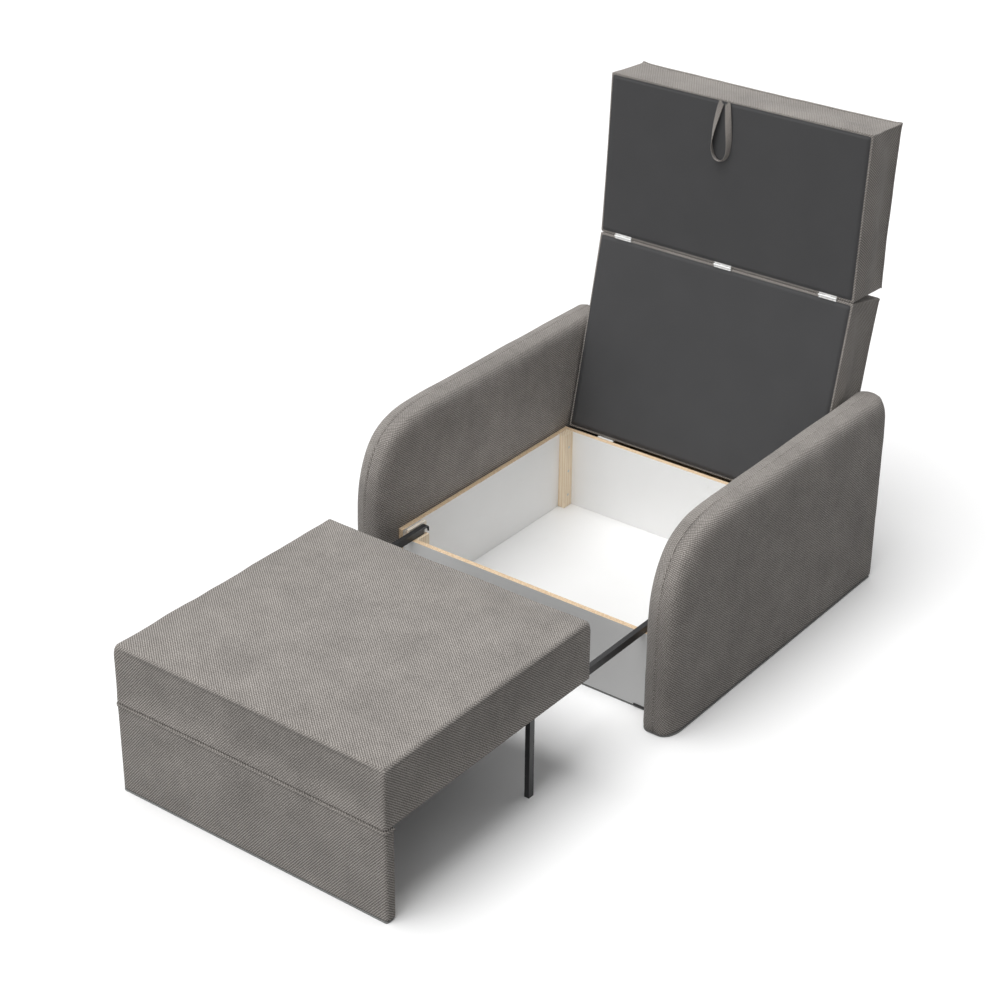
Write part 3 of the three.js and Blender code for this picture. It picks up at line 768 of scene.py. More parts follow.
def axes_with_z(direction: Sequence[float]) -> Array:
    """Three axes as rows, the last along the direction."""
    z = unit(np.asarray(direction, float))
    helper = np.array([0.0, 0.0, 1.0]) if abs(z[2]) < 0.9 else np.array([1.0, 0.0, 0.0])
    x = unit(np.cross(helper, z))
    return np.stack([x, np.cross(z, x), z])


def screw_head(radius: float, dome: float = 0.0016, count: int = 24) -> Form:
    """A cross-recess screw head whose top stands on Z = 0 upwards.

    The height is dome * (1 - s * s) for s the share of the radius, less a cross where
    |sin 2a| is small near the middle.
    """
    share = np.array([0.0, 0.16, 0.34, 0.52, 0.62, 0.8, 0.94, 1.0, 1.0, 0.0])
    slot_width, slot_end, pit, depth, shank = 0.55, 0.6, 0.1, 0.9, -0.0006
    angle = np.linspace(0, TURN, count, endpoint=False)
    s, a = np.meshgrid(share, angle, indexing="ij")
    height = dome * (1 - s * s)
    cross = (np.abs(np.sin(2 * a)) < slot_width) & (s < slot_end)
    height = np.where(cross | (s < pit), height - dome * depth * (1 - s), height)
    height[-2:] = shank
    points = np.stack([radius * s * np.cos(a), radius * s * np.sin(a), height], -1)
    return welded(points, grid_quads(len(share), count, True)[:, ::-1])


def undulation(points: Array, wavelength: float, height: float, seed: int) -> Array:
    """Gentle hills: sines of position along sixteen seeded directions, summed over four."""
    source = np.random.default_rng(seed)
    directions = unit(source.normal(size=(16, 3)))
    pace = TURN / (wavelength * source.uniform(0.7, 1.6, 16))
    phase = points @ (directions * pace[:, None]).T + source.uniform(0, TURN, 16)
    return height * np.sin(phase).sum(axis=1) / 4.0


def rectangle(low: Sequence[float], high: Sequence[float], shares: Array) -> Array:
    """Points round a rectangle, anticlockwise from its low corner, at shares of each side."""
    corners = np.array([[low[0], low[1]], [high[0], low[1]], [high[0], high[1]], [low[0], high[1]]])
    ends = zip(corners, np.roll(corners, -1, 0))
    return np.vstack([a + (b - a) * shares[:, None] for a, b in ends])


def sheet_places(low: Sequence[float], high: Sequence[float], counts: Sequence[int]) -> list[Array]:
    """X and Y of a flat grid over a rectangle."""
    lines = [np.linspace(low[k], high[k], counts[k]) for k in range(2)]
    return np.meshgrid(*lines, indexing="ij")


def fullness(u: Array, v: Array, power: int) -> Array:
    """1 in the middle of a face and 0 on its edges, for u and v from -1 to 1 across it."""
    return (1 - np.abs(u) ** power) * (1 - np.abs(v) ** power)


def stitches(path: Array, normals: Array, pitch: float) -> Form:
    """A row of thread stitches along a line on a surface.

    A stitch is a flattened bead: along it runs from -1 to 1, and its width and height are
    the square root of 1 - along squared. All stitches are worked out as one array.

    Args:
        path: points on the surface.
        normals: the surface's direction at them.
        pitch: from one stitch to the next.

    Returns:
        The form.
    """
    reach = reach_of(path)
    at = np.arange(pitch, reach[-1] - pitch, pitch)
    centre, up = sampled(path, reach, at), unit(sampled(normals, reach, at))
    ahead = unit(sampled(path, reach, at + 0.002) - centre)
    across = np.cross(up, ahead)
    s = np.array([-1.0, -0.7, 0.0, 0.7, 1.0])
    girth, ring = np.sqrt(np.maximum(1 - s**2, 0))[:, None], circle(6)
    offset = (
        ahead[:, None, None] * (s * STITCH_LENGTH / 2)[None, :, None, None]
        + across[:, None, None] * (girth * ring[:, 0] * STITCH_WIDTH / 2)[None, :, :, None]
        + up[:, None, None] * (girth * ring[:, 1] * STITCH_WIDTH / 2)[None, :, :, None]
    )
    count = len(s) * len(ring)
    quads = grid_quads(len(s), len(ring), True)[None] + (np.arange(len(at)) * count)[:, None, None]
    return welded(centre[:, None, None] + offset, quads.reshape(-1, 4))


# Pieces


def add_piece(
    name: str,
    form: Form,
    material: Material,
    body: Body,
    replaces: Sequence[str] = (),
    smooth: bool = True,
) -> Piece:
    """Makes a form an object that rides on a body.

    Args:
        name: the piece's name.
        form: its shape, placed in the shared frame.
        material: its finish.
        body: what it moves with.
        replaces: CAD nodes that it stands for.
        smooth: whether its faces are shaded smooth.

    Returns:
        The object.
    """
    mesh = bpy.data.meshes.new(name)
    quads, ordered = form.quads, np.sort(form.quads, axis=1)
    broken = (ordered[:, 1:] == ordered[:, :-1]).any(axis=1)
    faces = quads[~broken].tolist()
    for quad in quads[broken].tolist():
        kept = [n for k, n in enumerate(quad) if n != quad[k - 1]]
        if len(set(kept)) == 3 and len(kept) == 3:
            faces.append(kept)
    mesh.from_pydata(form.points.tolist(), [], faces)
    mesh.polygons.foreach_set("use_smooth", np.full(len(mesh.polygons), smooth))
    mesh.materials.append(material)
    mesh.update()
    piece = bpy.data.objects.new(name, mesh)
    bpy.context.scene.collection.objects.link(piece)
    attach(piece, body.value)
    if replaces:
        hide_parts(*replaces)
    log.info("built %s", name)
    return piece


def read(items: bpy.types.bpy_prop_collection, name: str, width: int, kind: type = float) -> Array:
    """A property of all points, faces or corners of a mesh, a row for each."""
    values = np.empty(len(items) * width, kind)
    items.foreach_get(name, values)
    return values.reshape(-1, width)


def move_points(piece: Piece, points: Array) -> None:
    """Puts the piece's points at new places."""
    piece.data.vertices.foreach_set("co", points.ravel())
    piece.data.update()


def lay_cloth(
    piece: Piece, axes: Array | None = None, flat: Array | None = None, middle: float = 0.0
) -> None:
    """Gives a piece its cloth coordinates in metres.

    Each face takes two axes of its own by the way it looks. On top the cloth runs front to back,
    on the front it runs across, and on the sides it is turned a quarter, as on the photograph's
    pieces. The ends of a leaning piece are cut across the roll, so their ribs run the other way.
    A piece of two side panels takes their flat places instead.

    Args:
        piece: the object.
        axes: the piece's own axes as rows, where it leans.
        flat: each point's place on a flat side panel (y, z), if the piece is made of two.
        middle: X of the seam between those panels.
    """
    mesh = piece.data
    count = len(mesh.polygons)
    points, normals = read(mesh.vertices, "co", 3), read(mesh.polygons, "normal", 3)
    totals = read(mesh.polygons, "loop_total", 1, np.int32)[:, 0]
    ends = read(mesh.loops, "vertex_index", 1, np.int32)[:, 0]
    own = np.eye(3) if axes is None else axes
    local, normals = points @ own.T, normals @ own.T
    way = np.abs(normals).argmax(axis=1)
    sign = np.sign(normals[np.arange(count), way])
    face = np.repeat(np.arange(count), totals)
    way, sign, p = way[face], sign[face], local[ends]
    looks = [way == 0, way == 1, way == 2]
    hand = -1.0 if axes is None else 1.0
    u = np.select(looks, [-p[:, 2], p[:, 0] * -sign, p[:, 1]])
    v = np.select(looks, [p[:, 1] * sign, p[:, 2], p[:, 0] * sign * hand])
    if flat is not None:
        centre = np.bincount(face, points[ends][:, 0]) / totals
        u, v = -flat[ends][:, 1], flat[ends][:, 0] * np.sign(centre - middle)[face]
    layer = mesh.uv_layers.new(name=CLOTH_UV)
    layer.data.foreach_set("uv", np.stack([u, v], -1).ravel())


def sew(name: str, form: Form, material: Material, body: Body) -> None:
    """Adds a seam, a welt or a row of stitches, which no CAD node holds."""
    lay_cloth(add_piece(name, form, material, body))


def upholster(
    piece: Piece,
    axes: Array | None = None,
    flat: Array | None = None,
    middle: float = 0.0,
) -> None:
    """Args:
        piece: the object.
        axes: as lay_cloth takes them.
        flat: as lay_cloth takes it.
        middle: as lay_cloth takes it.
    """
    lay_cloth(piece, axes, flat, middle)
    refine(piece)


def refine(piece: Piece) -> None:
    """Adds one subdivision in view and render."""
    modifier = piece.modifiers.new("Smooth", "SUBSURF")
    modifier.levels = modifier.render_levels = 1


def stretch_lining(
    piece: Piece, axes: Array | None = None
) -> None:
    """Args:
        piece: the sheet.
        axes: its own axes as rows, where it leans.
    """
    lay_cloth(piece, axes)
    skin = piece.modifiers.new("Thickness", "SOLIDIFY")
    skin.thickness, skin.offset = LINING_THICKNESS, 0.0


def stuff(piece: Piece, held: Array, pressure: float, cap: Array) -> None:
    """Swells a closed piece as cloth round stuffing, and keeps the result in its mesh.

    The cloth runs for twenty frames without gravity. A point that would travel d goes
    cap * tanh(d / cap) instead, so that the foam's edges stay straight.

    Args:
        piece: the object.
        held: numbers of the points that don't move.
        pressure: the pressure inside.
        cap: the longest travel of each point, in metres.
    """
    group = piece.vertex_groups.new(name="held")
    group.add(held.tolist(), 1.0, "REPLACE")
    cloth = piece.modifiers.new("Stuffing", "CLOTH")
    settings = {
        "quality": 5, "mass": 0.25, "tension_stiffness": 30, "compression_stiffness": 30,
        "shear_stiffness": 12, "bending_stiffness": 3, "use_pressure": True,
        "uniform_pressure_force": pressure, "vertex_group_mass": "held",
    }
    for key, value in settings.items():
        setattr(cloth.settings, key, value)
    cloth.settings.effector_weights.gravity = 0
    cloth.collision_settings.use_collision = False
    cloth.point_cache.frame_start, cloth.point_cache.frame_end = 1, STUFFING_FRAMES
    scene = bpy.context.scene
    for moment in range(1, STUFFING_FRAMES + 1):
        scene.frame_set(moment)
    before = read(piece.data.vertices, "co", 3)
    swollen = piece.evaluated_get(bpy.context.evaluated_depsgraph_get())
    travel = read(swollen.data.vertices, "co", 3) - before
    length = np.maximum(np.linalg.norm(travel, axis=1, keepdims=True), 1e-9)
    piece.modifiers.remove(cloth)
    piece.vertex_groups.remove(group)
    reach = cap[:, None] * np.tanh(length / cap[:, None])
    move_points(piece, before + travel * reach / length)
    scene.frame_set(1)
    log.info("%s swelled by %.1f mm at most", piece.name, 1000 * reach.max())


def dress(material: Material, *nodes: str) -> None:
    """Gives CAD nodes a finish."""
    for name in nodes:
        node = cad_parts[name]
        if not node.material_slots:
            node.data.materials.append(material)
        for place in node.material_slots:
            place.material = material


def inner_x(node: str, side: Side) -> float:
    """X of the face of a node that looks to the middle."""
    low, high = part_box(node)
    return low.x if side is Side.RIGHT else high.x


# Padded forms


@dataclass
class Cushion:
    """A foam block in cloth, crowned on one face and flat on the other.

    Its own frame has the width along X, the length along Y and the crowned face up or down Z.
    """

    name: str
    low: Sequence[float]
    high: Sequence[float]
    edge: float
    hem: float
    corner: float
    crown: float
    crown_up: bool
    power: int
    seed: int
    origin: Sequence[float] = (0.0, 0.0, 0.0)
    axes: Array = field(default_factory=lambda: np.eye(3))
    cloth_axes: Array | None = None
    firm_end: int = 0
    ears: float = 0.0
    ear_reach: float = 0.025
    draw_in: float = 0.002
    step: float = 0.013
    pressure: float = 4.0
    cap: float = 0.009
    edge_cap: float = 0.0012
    firm_cap: float = 0.0002
    spare: float = 0.005

    def form(self) -> Form:
        """The foam's shape.

        The face rises by (crown - spare) * (1 - u^n) * (1 - v^n), for u and v from -1 to 1 across
        it and n the power, where spare is the room that the stuffing fills. The sides draw in by
        draw_in * (1 - v^2) between the corners, except at a firm end. Ears are the little points
        of cloth at the far corners: they stand out by ears * (1 - d / reach)^2, for d the way to
        the corner.
        """
        low, high = np.array(self.low, float), np.array(self.high, float)
        spare = self.spare
        radii = [(self.corner, self.corner, self.hem), (self.corner, self.corner, self.edge)]
        first, last = radii if self.crown_up else radii[::-1]
        form = rounded_block(low, high, first, self.step, 4, last)
        p, middle, half = form.points, (low + high) / 2, (high - low) / 2
        u, v = ((p - middle) / half).T[:2]
        share = (p[:, 2] - low[2]) / (high[2] - low[2])
        share = share if self.crown_up else 1 - share
        rise = (self.crown - spare) * fullness(u, v, self.power)
        rise *= np.clip((share - 0.75) * 4, 0, 1)
        p[:, 2] += rise * (1 if self.crown_up else -1)
        p[:, 0] -= np.sign(u) * self.draw_in * (1 - np.clip(v, -1, 1) ** 2) * np.abs(u) ** 6
        drawn = np.where(np.sign(v) == self.firm_end, 0.0, self.draw_in)
        p[:, 1] -= np.sign(v) * drawn * (1 - np.clip(u, -1, 1) ** 2) * np.abs(v) ** 6
        crowned = high[2] if self.crown_up else low[2]
        for x in (low[0], high[0]):
            away = form.seed - np.array([x, high[1], crowned])
            near = np.clip(1 - np.linalg.norm(away, axis=1) / self.ear_reach, 0, 1) ** 2
            p += np.outer(near * self.ears, [np.sign(x) * 0.7, 1.0, 0.0])
        return form

    def caps(self, seed: Array) -> Array:
        """How far each point may travel: little on the foam's edges, and more within a face.

        With the three shares of the way from the middle sorted, the second largest, m, is 1 on
        an edge, and the cap falls from the face's to the edge's as m to the sixth power. An end
        that meets another leaf is firm.
        """
        middle, half = (seed.max(axis=0) + seed.min(axis=0)) / 2, np.ptp(seed, axis=0) / 2
        parts = np.abs(seed - middle) / half
        share = np.sort(parts, axis=1)[:, 1]
        caps = self.cap + (self.edge_cap - self.cap) * share**6
        firm = (np.sign(seed[:, 1] - middle[1]) == self.firm_end) & (parts[:, 1] > 0.985)
        return np.where(firm, self.firm_cap, caps)

    def make(self, material: Material, body: Body, node: str) -> Form:
        """Builds, stuffs and wrinkles the cushion.

        Args:
            material: its cloth.
            body: what it moves with.
            node: the CAD node that it replaces.

        Returns:
            Its final form, with the seed kept.
        """
        form = self.form()
        seed = form.seed
        lowest, highest = seed[:, 2].min(), seed[:, 2].max()
        rest = seed[:, 2] <= lowest + self.hem * 1.01
        if not self.crown_up:
            rest = seed[:, 2] >= highest - self.hem * 1.01
        placed = form.placed(self.origin, self.axes)
        piece = add_piece(self.name, placed, material, body, [node])
        stuff(piece, np.flatnonzero(rest), self.pressure, self.caps(seed))
        final = Form(read(piece.data.vertices, "co", 3), placed.quads, seed)
        normals = final.normals()
        facing = np.abs(normals @ self.axes[2])
        still = rest | (self.caps(seed) < self.edge_cap / 2)
        loose = np.where(still, 0.0, 0.45 + 0.55 * facing)[:, None]
        ripple = undulation(final.points, 0.19, 0.0011, self.seed)
        ripple = ripple + undulation(final.points, 0.06, 0.00035, self.seed + 1)
        final.points = final.points + normals * ripple[:, None] * loose
        move_points(piece, final.points)
        upholster(piece, self.cloth_axes)
        return final

    def side_line(self, form: Form) -> tuple[Array, Array]:
        """The line on the sides where the lower, crowned face's edge begins.

        It runs up to the free end on one side, along it, and back on the other side. The firm
        end has none.

        Returns:
            The points in order, and the way out of each.
        """
        seed, normals = form.seed, form.normals()
        low, high = seed.min(axis=0), seed.max(axis=0)
        near = np.isclose(seed[:, 2], low[2] + self.edge, atol=SAME)
        free, firm = (low, high) if self.firm_end > 0 else (high, low)
        sides = ((0, free, -self.firm_end), (1, free, self.firm_end), (0, firm, self.firm_end))
        pieces = []
        for axis, end, rising in sides:
            found = np.flatnonzero(near & np.isclose(seed[:, axis], end[axis], atol=SAME))
            pieces.append(found[np.argsort(rising * seed[found, 1 - axis])][:-1])
        line = np.concatenate(pieces)
        return form.points[line], normals[line]


# Sub-assemblies


@dataclass
class ArmSet:
    """The two padded arms and the strips that they stand on."""

    inner: float = 0.452
    thickness: float = 0.1097
    band: float = 0.040
    reach: float = 0.090
    front: float = -0.1052
    rear: float = 1.0078
    foot: float = 0.0053
    height: float = 0.6085
    curve_depth: float = 0.300
    curve_rise: float = 0.330
    rear_radius: float = 0.014
    power: float = 3.0
    firm: float = 4.0
    soft: float = 3.0
    soft_band: float = 0.036
    firm_rear: float = 10.0
    strip_inset: float = 0.0015
    stitch_pitch: float = 0.0062

    def outline(self) -> tuple[Array, Array]:
        """The arm's side view from the front foot over the top to the rear foot.

        The front is a superellipse of the third power, the rear corner a quarter circle.

        Returns:
            Points (y, z), and for each whether it is on the firm rear edge.
        """
        base = self.height - self.curve_rise
        up = np.linspace(self.foot, base, 26)[:-1]
        angle = np.linspace(0, math.pi / 2, 90)
        across, rise = np.cos(angle) ** (2 / self.power), np.sin(angle) ** (2 / self.power)
        curve_y = self.front + self.curve_depth * (1 - np.clip(across, 0, 1))
        curve_z = base + self.curve_rise * rise
        top = np.linspace(self.front + self.curve_depth, self.rear - self.rear_radius, 60)[1:-1]
        turn = np.linspace(0, math.pi / 2, 14)
        corner_y = self.rear - self.rear_radius * (1 - np.sin(turn))
        corner_z = self.height - self.rear_radius * (1 - np.cos(turn))
        down = np.linspace(self.height - self.rear_radius, self.foot, 50)[1:]
        front, rear = np.full(len(up), self.front), np.full(len(down), self.rear)
        y = np.concatenate([front, curve_y, top, corner_y, rear])
        z = np.concatenate([up, curve_z, np.full(len(top), self.height), corner_z, down])
        return np.stack([y, z], -1), np.arange(len(y)) >= len(y) - len(down)

    def grid(self) -> Array:
        """A grid over the arm's side view that follows its outline.

        It is a Coons patch: the sum of the two ruled surfaces between opposite edges, less the
        bilinear surface between the corners. Lines crowd towards the edge, where the pad rounds.

        Returns:
            The (rows, columns, 2) grid of (y, z).
        """
        line, _ = self.outline()
        length = reach_of(line)
        corner_front = np.argmax(line[:, 1] > self.height - self.curve_rise * 0.19)
        at_rear = line[:, 0] > self.rear - self.rear_radius * 0.3
        corner_rear = np.argmax(at_rear & (line[:, 1] > 0.5))
        soft = np.array([0, 0.0022, 0.006, 0.013, 0.024, 0.04, 0.062, 0.09])
        across = np.concatenate([soft, np.linspace(0.12, 0.88, 30), 1 - soft[::-1]])
        upward = np.concatenate([np.linspace(0, 0.84, 22), 1 - (soft * 1.6)[::-1]])

        def along(start: float, end: float, shares: Array) -> Array:
            """Points of the outline at shares of the way from start to end."""
            return sampled(line, length, start + (end - start) * shares)

        left = along(0, length[corner_front], upward)
        top = along(length[corner_front], length[corner_rear], across)
        right = along(length[-1], length[corner_rear], upward)
        bottom = line[0] + (line[-1] - line[0]) * across[:, None]
        s, t = across[:, None, None], upward[None, :, None]
        ruled = (1 - s) * left[None] + s * right[None] + (1 - t) * bottom[:, None] + t * top[:, None]
        front, rear = (1 - t) * line[0] + t * top[0], (1 - t) * line[-1] + t * top[-1]
        return ruled - ((1 - s) * front + s * rear)

    def half_at(self, depth: Array, front: Array) -> Array:
        """Half of the pad's thickness at a depth in from its edge, measured in reaches.

        It grows from half of the band's width b to the pad's half thickness by
        sqrt(1 - (1 - depth)^n). The front end is softer: there b and n are smaller.
        """
        band = (self.band + (self.soft_band - self.band) * front) / 2
        power = self.firm + (self.soft - self.firm) * front
        rise = np.sqrt(np.maximum(1 - (1 - np.clip(depth, 0, 1)) ** power, 0))
        return band + (self.thickness / 2 - band) * rise

    def nearest(self, places: Array) -> tuple[Array, Array, Array, Array]:
        """Where places of the side view lie against the outline.

        Returns:
            Each place's depth in reaches, how much its edge faces the front (0 to 1), the
            direction out of that edge, and the firmness that multiplied its depth.
        """
        line, firm = self.outline()
        start, way = line[:-1], np.diff(line, axis=0)
        size = np.maximum((way**2).sum(axis=1), TINY)
        gap = places[:, None] - start[None]
        share = np.clip((gap * way).sum(axis=2) / size, 0, 1)
        firmness = np.where(firm[1:], self.firm_rear, 1.0)
        distance = np.linalg.norm(gap - share[..., None] * way, axis=2) * firmness
        found = distance.argmin(axis=1)
        out = np.stack([-way[:, 1], way[:, 0]], -1) / np.sqrt(size)[:, None]
        front = np.clip(-out[found, 0], 0, 1) ** 2
        return distance.min(axis=1) / self.reach, front, out[found], firmness[found]

    def wrap(self, points: Array, middle: float) -> Array:
        """Places on the flat cloth, in metres.

        A side panel is cut as the side view, plus what goes round the edge to the seam: a point
        lies further out by the section's length from it to the flat part, less the same length
        seen from the side, plus its way across the band.
        """
        places = points[:, 1:]
        depth, front, out, firmness = self.nearest(places)
        depth = np.minimum(depth, 1.0)
        steps = depth[:, None] + (1 - depth[:, None]) * np.linspace(0, 1, 25) ** 2
        half = self.half_at(steps, front[:, None])
        across = np.diff(steps, axis=1) * (self.reach / firmness)[:, None]
        extra = (np.hypot(across, np.diff(half, axis=1)) - across).sum(axis=1)
        extra += np.maximum(self.half_at(depth, front) - np.abs(points[:, 0] - middle), 0)
        return places + out * extra[:, None]

    def pad(self, middle: float) -> Form:
        """The padded arm.

        Two side faces on the grid stand at plus and minus the half thickness. Round their common
        edge runs a band of rows across, full on both sides of a seam along its middle.

        Args:
            middle: X of the arm's middle.
        """
        grid = self.grid()
        m, n, _ = grid.shape
        flat = grid.reshape(-1, 2)
        depth, front, _, _ = self.nearest(flat)
        half = self.half_at(depth, front)
        faces = grid_quads(m, n)
        left, right = (np.column_stack([middle + way * half, flat]) for way in (-1, 1))
        number = np.arange(m * n).reshape(m, n)
        sides = [number[0, :-1], number[:-1, -1], number[-1, :0:-1], number[:0:-1, 0]]
        loop = np.concatenate(sides)
        edge = flat[loop]
        ahead = np.roll(edge, -1, 0) - np.roll(edge, 1, 0)
        out = unit(np.stack([-ahead[:, 1], ahead[:, 0]], -1))
        foot = edge[:, 1] < self.foot + SAME
        shares = np.array([0.0, 0.05, 0.16, 0.5, 0.85, 1.0])
        proud = np.array([0.0014, 0.0026, 0.0031, 0.0025, 0.0011, 0.0])
        shares = np.concatenate([-shares[:0:-1], shares])
        proud = np.concatenate([proud[:0:-1], proud])
        lift = np.where(foot[None], 0.0, proud[:, None])
        band = edge[None] + out[None] * lift[..., None]
        x = middle + half[loop][None] * shares[:, None]
        rows = np.concatenate([x[..., None], band], -1)
        strip = grid_quads(len(shares), len(loop), True)
        points = np.vstack([left, right, rows.reshape(-1, 3)])
        quads = [faces, faces[:, ::-1] + m * n, strip[:, ::-1] + 2 * m * n]
        return welded(points, np.vstack(quads))

    def build(self, finishes: Finishes) -> None:
        """Builds both arms and dresses their strips and inner boards."""
        for side in Side:
            middle = side.value * (self.inner + self.thickness / 2)
            form = self.pad(middle)
            flat, normals = self.wrap(form.points, middle), form.normals()
            standing = np.clip((form.points[:, 2] - 0.02) / 0.05, 0, 1)
            ripple = undulation(form.points, 0.23, 0.0012, 20 + side.value)
            ripple = ripple + undulation(form.points, 0.07, 0.0004, 30 + side.value)
            facing = np.abs(normals[:, 0])
            form.points = form.points + normals * (ripple * standing * facing)[:, None]
            name, node = f"arm_cloth_{side.word}", f"arm_pad_{side.word}"
            piece = add_piece(name, form, finishes.cloth, Body.BASE, [node])
            upholster(piece, None, flat, middle)
            self.seam(side, middle, finishes)
            self.strip(side, middle, finishes)
            dress(finishes.chipboard, f"arm_board_{side.word}")

    def strip(self, side: Side, middle: float, finishes: Finishes) -> None:
        """The grey strip that the arm stands on, with rounded corners."""
        inset, round_over = self.strip_inset, 0.0008
        half = self.thickness / 2 - inset
        low = (middle - half, self.front + inset, 0.0)
        high = (middle + half, self.rear - 0.003 - inset, self.foot - 0.0003)
        first, last = (0.036, 0.060, round_over), (0.036, 0.008, round_over)
        form = rounded_block(low, high, first, 0.05, 5, last)
        name, node = f"arm_glide_{side.word}", f"arm_base_strip_{side.word}"
        add_piece(name, form, finishes.grey, Body.BASE, [node])

    def seam(self, side: Side, middle: float, finishes: Finishes) -> None:
        """Sews the seam along the middle of the edge, with a row of stitches beside it.

        Args:
            side: which arm.
            middle: X of the arm's middle.
            finishes: the materials.
        """
        line, _ = self.outline()
        length = reach_of(line)
        path = sampled(line, length, np.linspace(0.002, length[-1] - 0.002, 420))
        ahead = np.gradient(path, axis=0)
        out = unit(np.stack([np.zeros(len(path)), -ahead[:, 1], ahead[:, 0]], -1))
        ring = np.column_stack([np.full(len(path), middle), path])
        fold = swept(ring + out * 0.0012, ring_section(0.0009, 6), out)
        sew(f"arm_seam_{side.word}", fold, finishes.thread, Body.BASE)
        beside = ring + np.array([side.value * 0.0048, 0, 0]) + out * 0.0027
        row = stitches(beside, out, self.stitch_pitch)
        sew(f"arm_stitches_{side.word}", row, finishes.thread, Body.BASE)


@dataclass
class SeatModule:
    """The seat that pulls out: cushion, front panel, seam, lining and fittings."""

    half: float = 0.450
    front: float = -1.1672
    rear: float = -0.3252
    floor: float = 0.2761
    edge_top: float = 0.452
    panel_rear: float = -1.1332
    panel_foot: float = 0.0053
    panel_top: float = 0.2758
    panel_corner: float = 0.010
    panel_inset: float = 0.0015
    welt_level: float = 0.2690
    welt_height: float = 0.0095
    welt_depth: float = 0.0044
    stitch_pitch: float = 0.0058
    strip_inset: float = 0.0012
    strip_top: float = 0.0050

    def build(self, finishes: Finishes) -> None:
        """Builds the module's soft pieces and dresses its fittings."""
        seat = Cushion(
            "seat_cloth", (-self.half, self.front, self.floor),
            (self.half, self.rear, self.edge_top), edge=0.036, hem=0.004, corner=0.014,
            crown=0.006, crown_up=True, power=4, seed=5,
        )
        seat.make(finishes.cloth, Body.SEAT, "seat_cushion")
        self.panel(finishes)
        self.band(finishes)
        self.lining(finishes)
        dress(finishes.chipboard, "seat_board", "front_panel_board")
        dress(finishes.steel, "panel_angle")
        dress(finishes.black, "guide_shoe_left", "guide_shoe_right")
        self.screws(finishes)

    def front_line(self, level: float, proud: float) -> tuple[Array, Array]:
        """A level line round the front of the module, from its left side to its right.

        Args:
            level: its height.
            proud: how far it stands out of the panel.

        Returns:
            The points, and the outward direction at each.
        """
        turn = np.linspace(0, math.pi / 2, 9)[:, None]
        r, side = self.panel_corner, self.half - self.panel_corner
        near = self.front + self.panel_inset + r
        run = np.linspace(self.panel_rear, near, 5)[:-1, None]
        x = np.linspace(-side, side, 90)[1:-1, None]
        corner = np.hstack([-np.cos(turn), -np.sin(turn)])
        left = np.vstack([np.tile([-1.0, 0.0], (len(run), 1)), corner])
        left_core = np.vstack([run, np.tile([near], (len(turn), 1))])
        left_core = np.hstack([np.full_like(left_core, -side), left_core])
        mirror = np.array([-1.0, 1.0])
        out = np.vstack([left, np.tile([0.0, -1.0], (len(x), 1)), left[::-1] * mirror])
        front = np.hstack([x, np.full_like(x, near)])
        flat = np.vstack([left_core, front, left_core[::-1] * mirror]) + out * (r + proud)
        level_z, level_out = np.full(len(flat), level), np.zeros(len(flat))
        return np.column_stack([flat, level_z]), np.column_stack([out, level_out])

    def band(self, finishes: Finishes) -> None:
        """The flat sewn welt between cushion and panel, with a row of stitches at each edge.

        Its profile is a flattened round, the height times sine and the depth times cosine.
        """
        path, out = self.front_line(self.welt_level, 0.0)
        section = ring_section(self.welt_height / 2, 12, self.welt_depth / self.welt_height)
        sew("seat_welt", swept(path, section, out), finishes.cloth, Body.SEAT)
        for name, way in (("upper", 1), ("lower", -1)):
            offset = way * (self.welt_height / 2 - 0.0006)
            path, out = self.front_line(self.welt_level + offset, 0.0009)
            row = stitches(path, out, self.stitch_pitch)
            sew(f"seat_stitches_{name}", row, finishes.thread, Body.SEAT)

    def panel(self, finishes: Finishes) -> None:
        """The padded front panel, whose front face is slightly full, and the strip under it."""
        low = (-self.half, self.front + self.panel_inset, self.panel_foot)
        high = (self.half, self.panel_rear, self.panel_top)
        form = rounded_block(low, high, (0.010, 0.011, 0.003), 0.02, 3, (0.010, 0.004, 0.004))
        p = form.points
        u = p[:, 0] / self.half
        v = (p[:, 2] - (low[2] + high[2]) / 2) / ((high[2] - low[2]) / 2)
        front = np.clip((self.panel_rear - 0.02 - p[:, 1]) / 0.012, 0, 1)
        p[:, 1] -= 0.002 * fullness(u, v, 4) * front
        p += form.normals() * (undulation(p, 0.17, 0.0008, 8) * front * (1 - v**8))[:, None]
        piece = add_piece(
            "front_panel_cloth", form, finishes.cloth, Body.SEAT, ["front_panel_pad"]
        )
        upholster(piece)
        inset = self.strip_inset
        low = (inset - self.half, self.front + inset, 0.0)
        high = (self.half - inset, self.panel_rear - 0.003, self.strip_top)
        strip = rounded_block(low, high, (0.008, 0.008, 0.0008), 0.05, 2)
        node = "front_panel_strip"
        add_piece("front_panel_glide", strip, finishes.grey, Body.SEAT, [node])

    def lining(self, finishes: Finishes) -> None:
        """The black dust cloth, a tight sheet that hangs 0.3 mm lower in its middle."""
        low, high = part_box("seat_dust_cover")
        x, y = sheet_places(low, high, (45, 39))
        u, v = 2 * (x - low.x) / (high.x - low.x) - 1, 2 * (y - low.y) / (high.y - low.y) - 1
        z = (low.z + high.z) / 2 - 0.0003 * fullness(u, v, 2)
        form = Form(np.stack([x, y, z], -1).reshape(-1, 3), grid_quads(*x.shape))
        node = "seat_dust_cover"
        piece = add_piece(
            "seat_lining", form, finishes.lining, Body.SEAT, [node]
        )
        stretch_lining(piece)

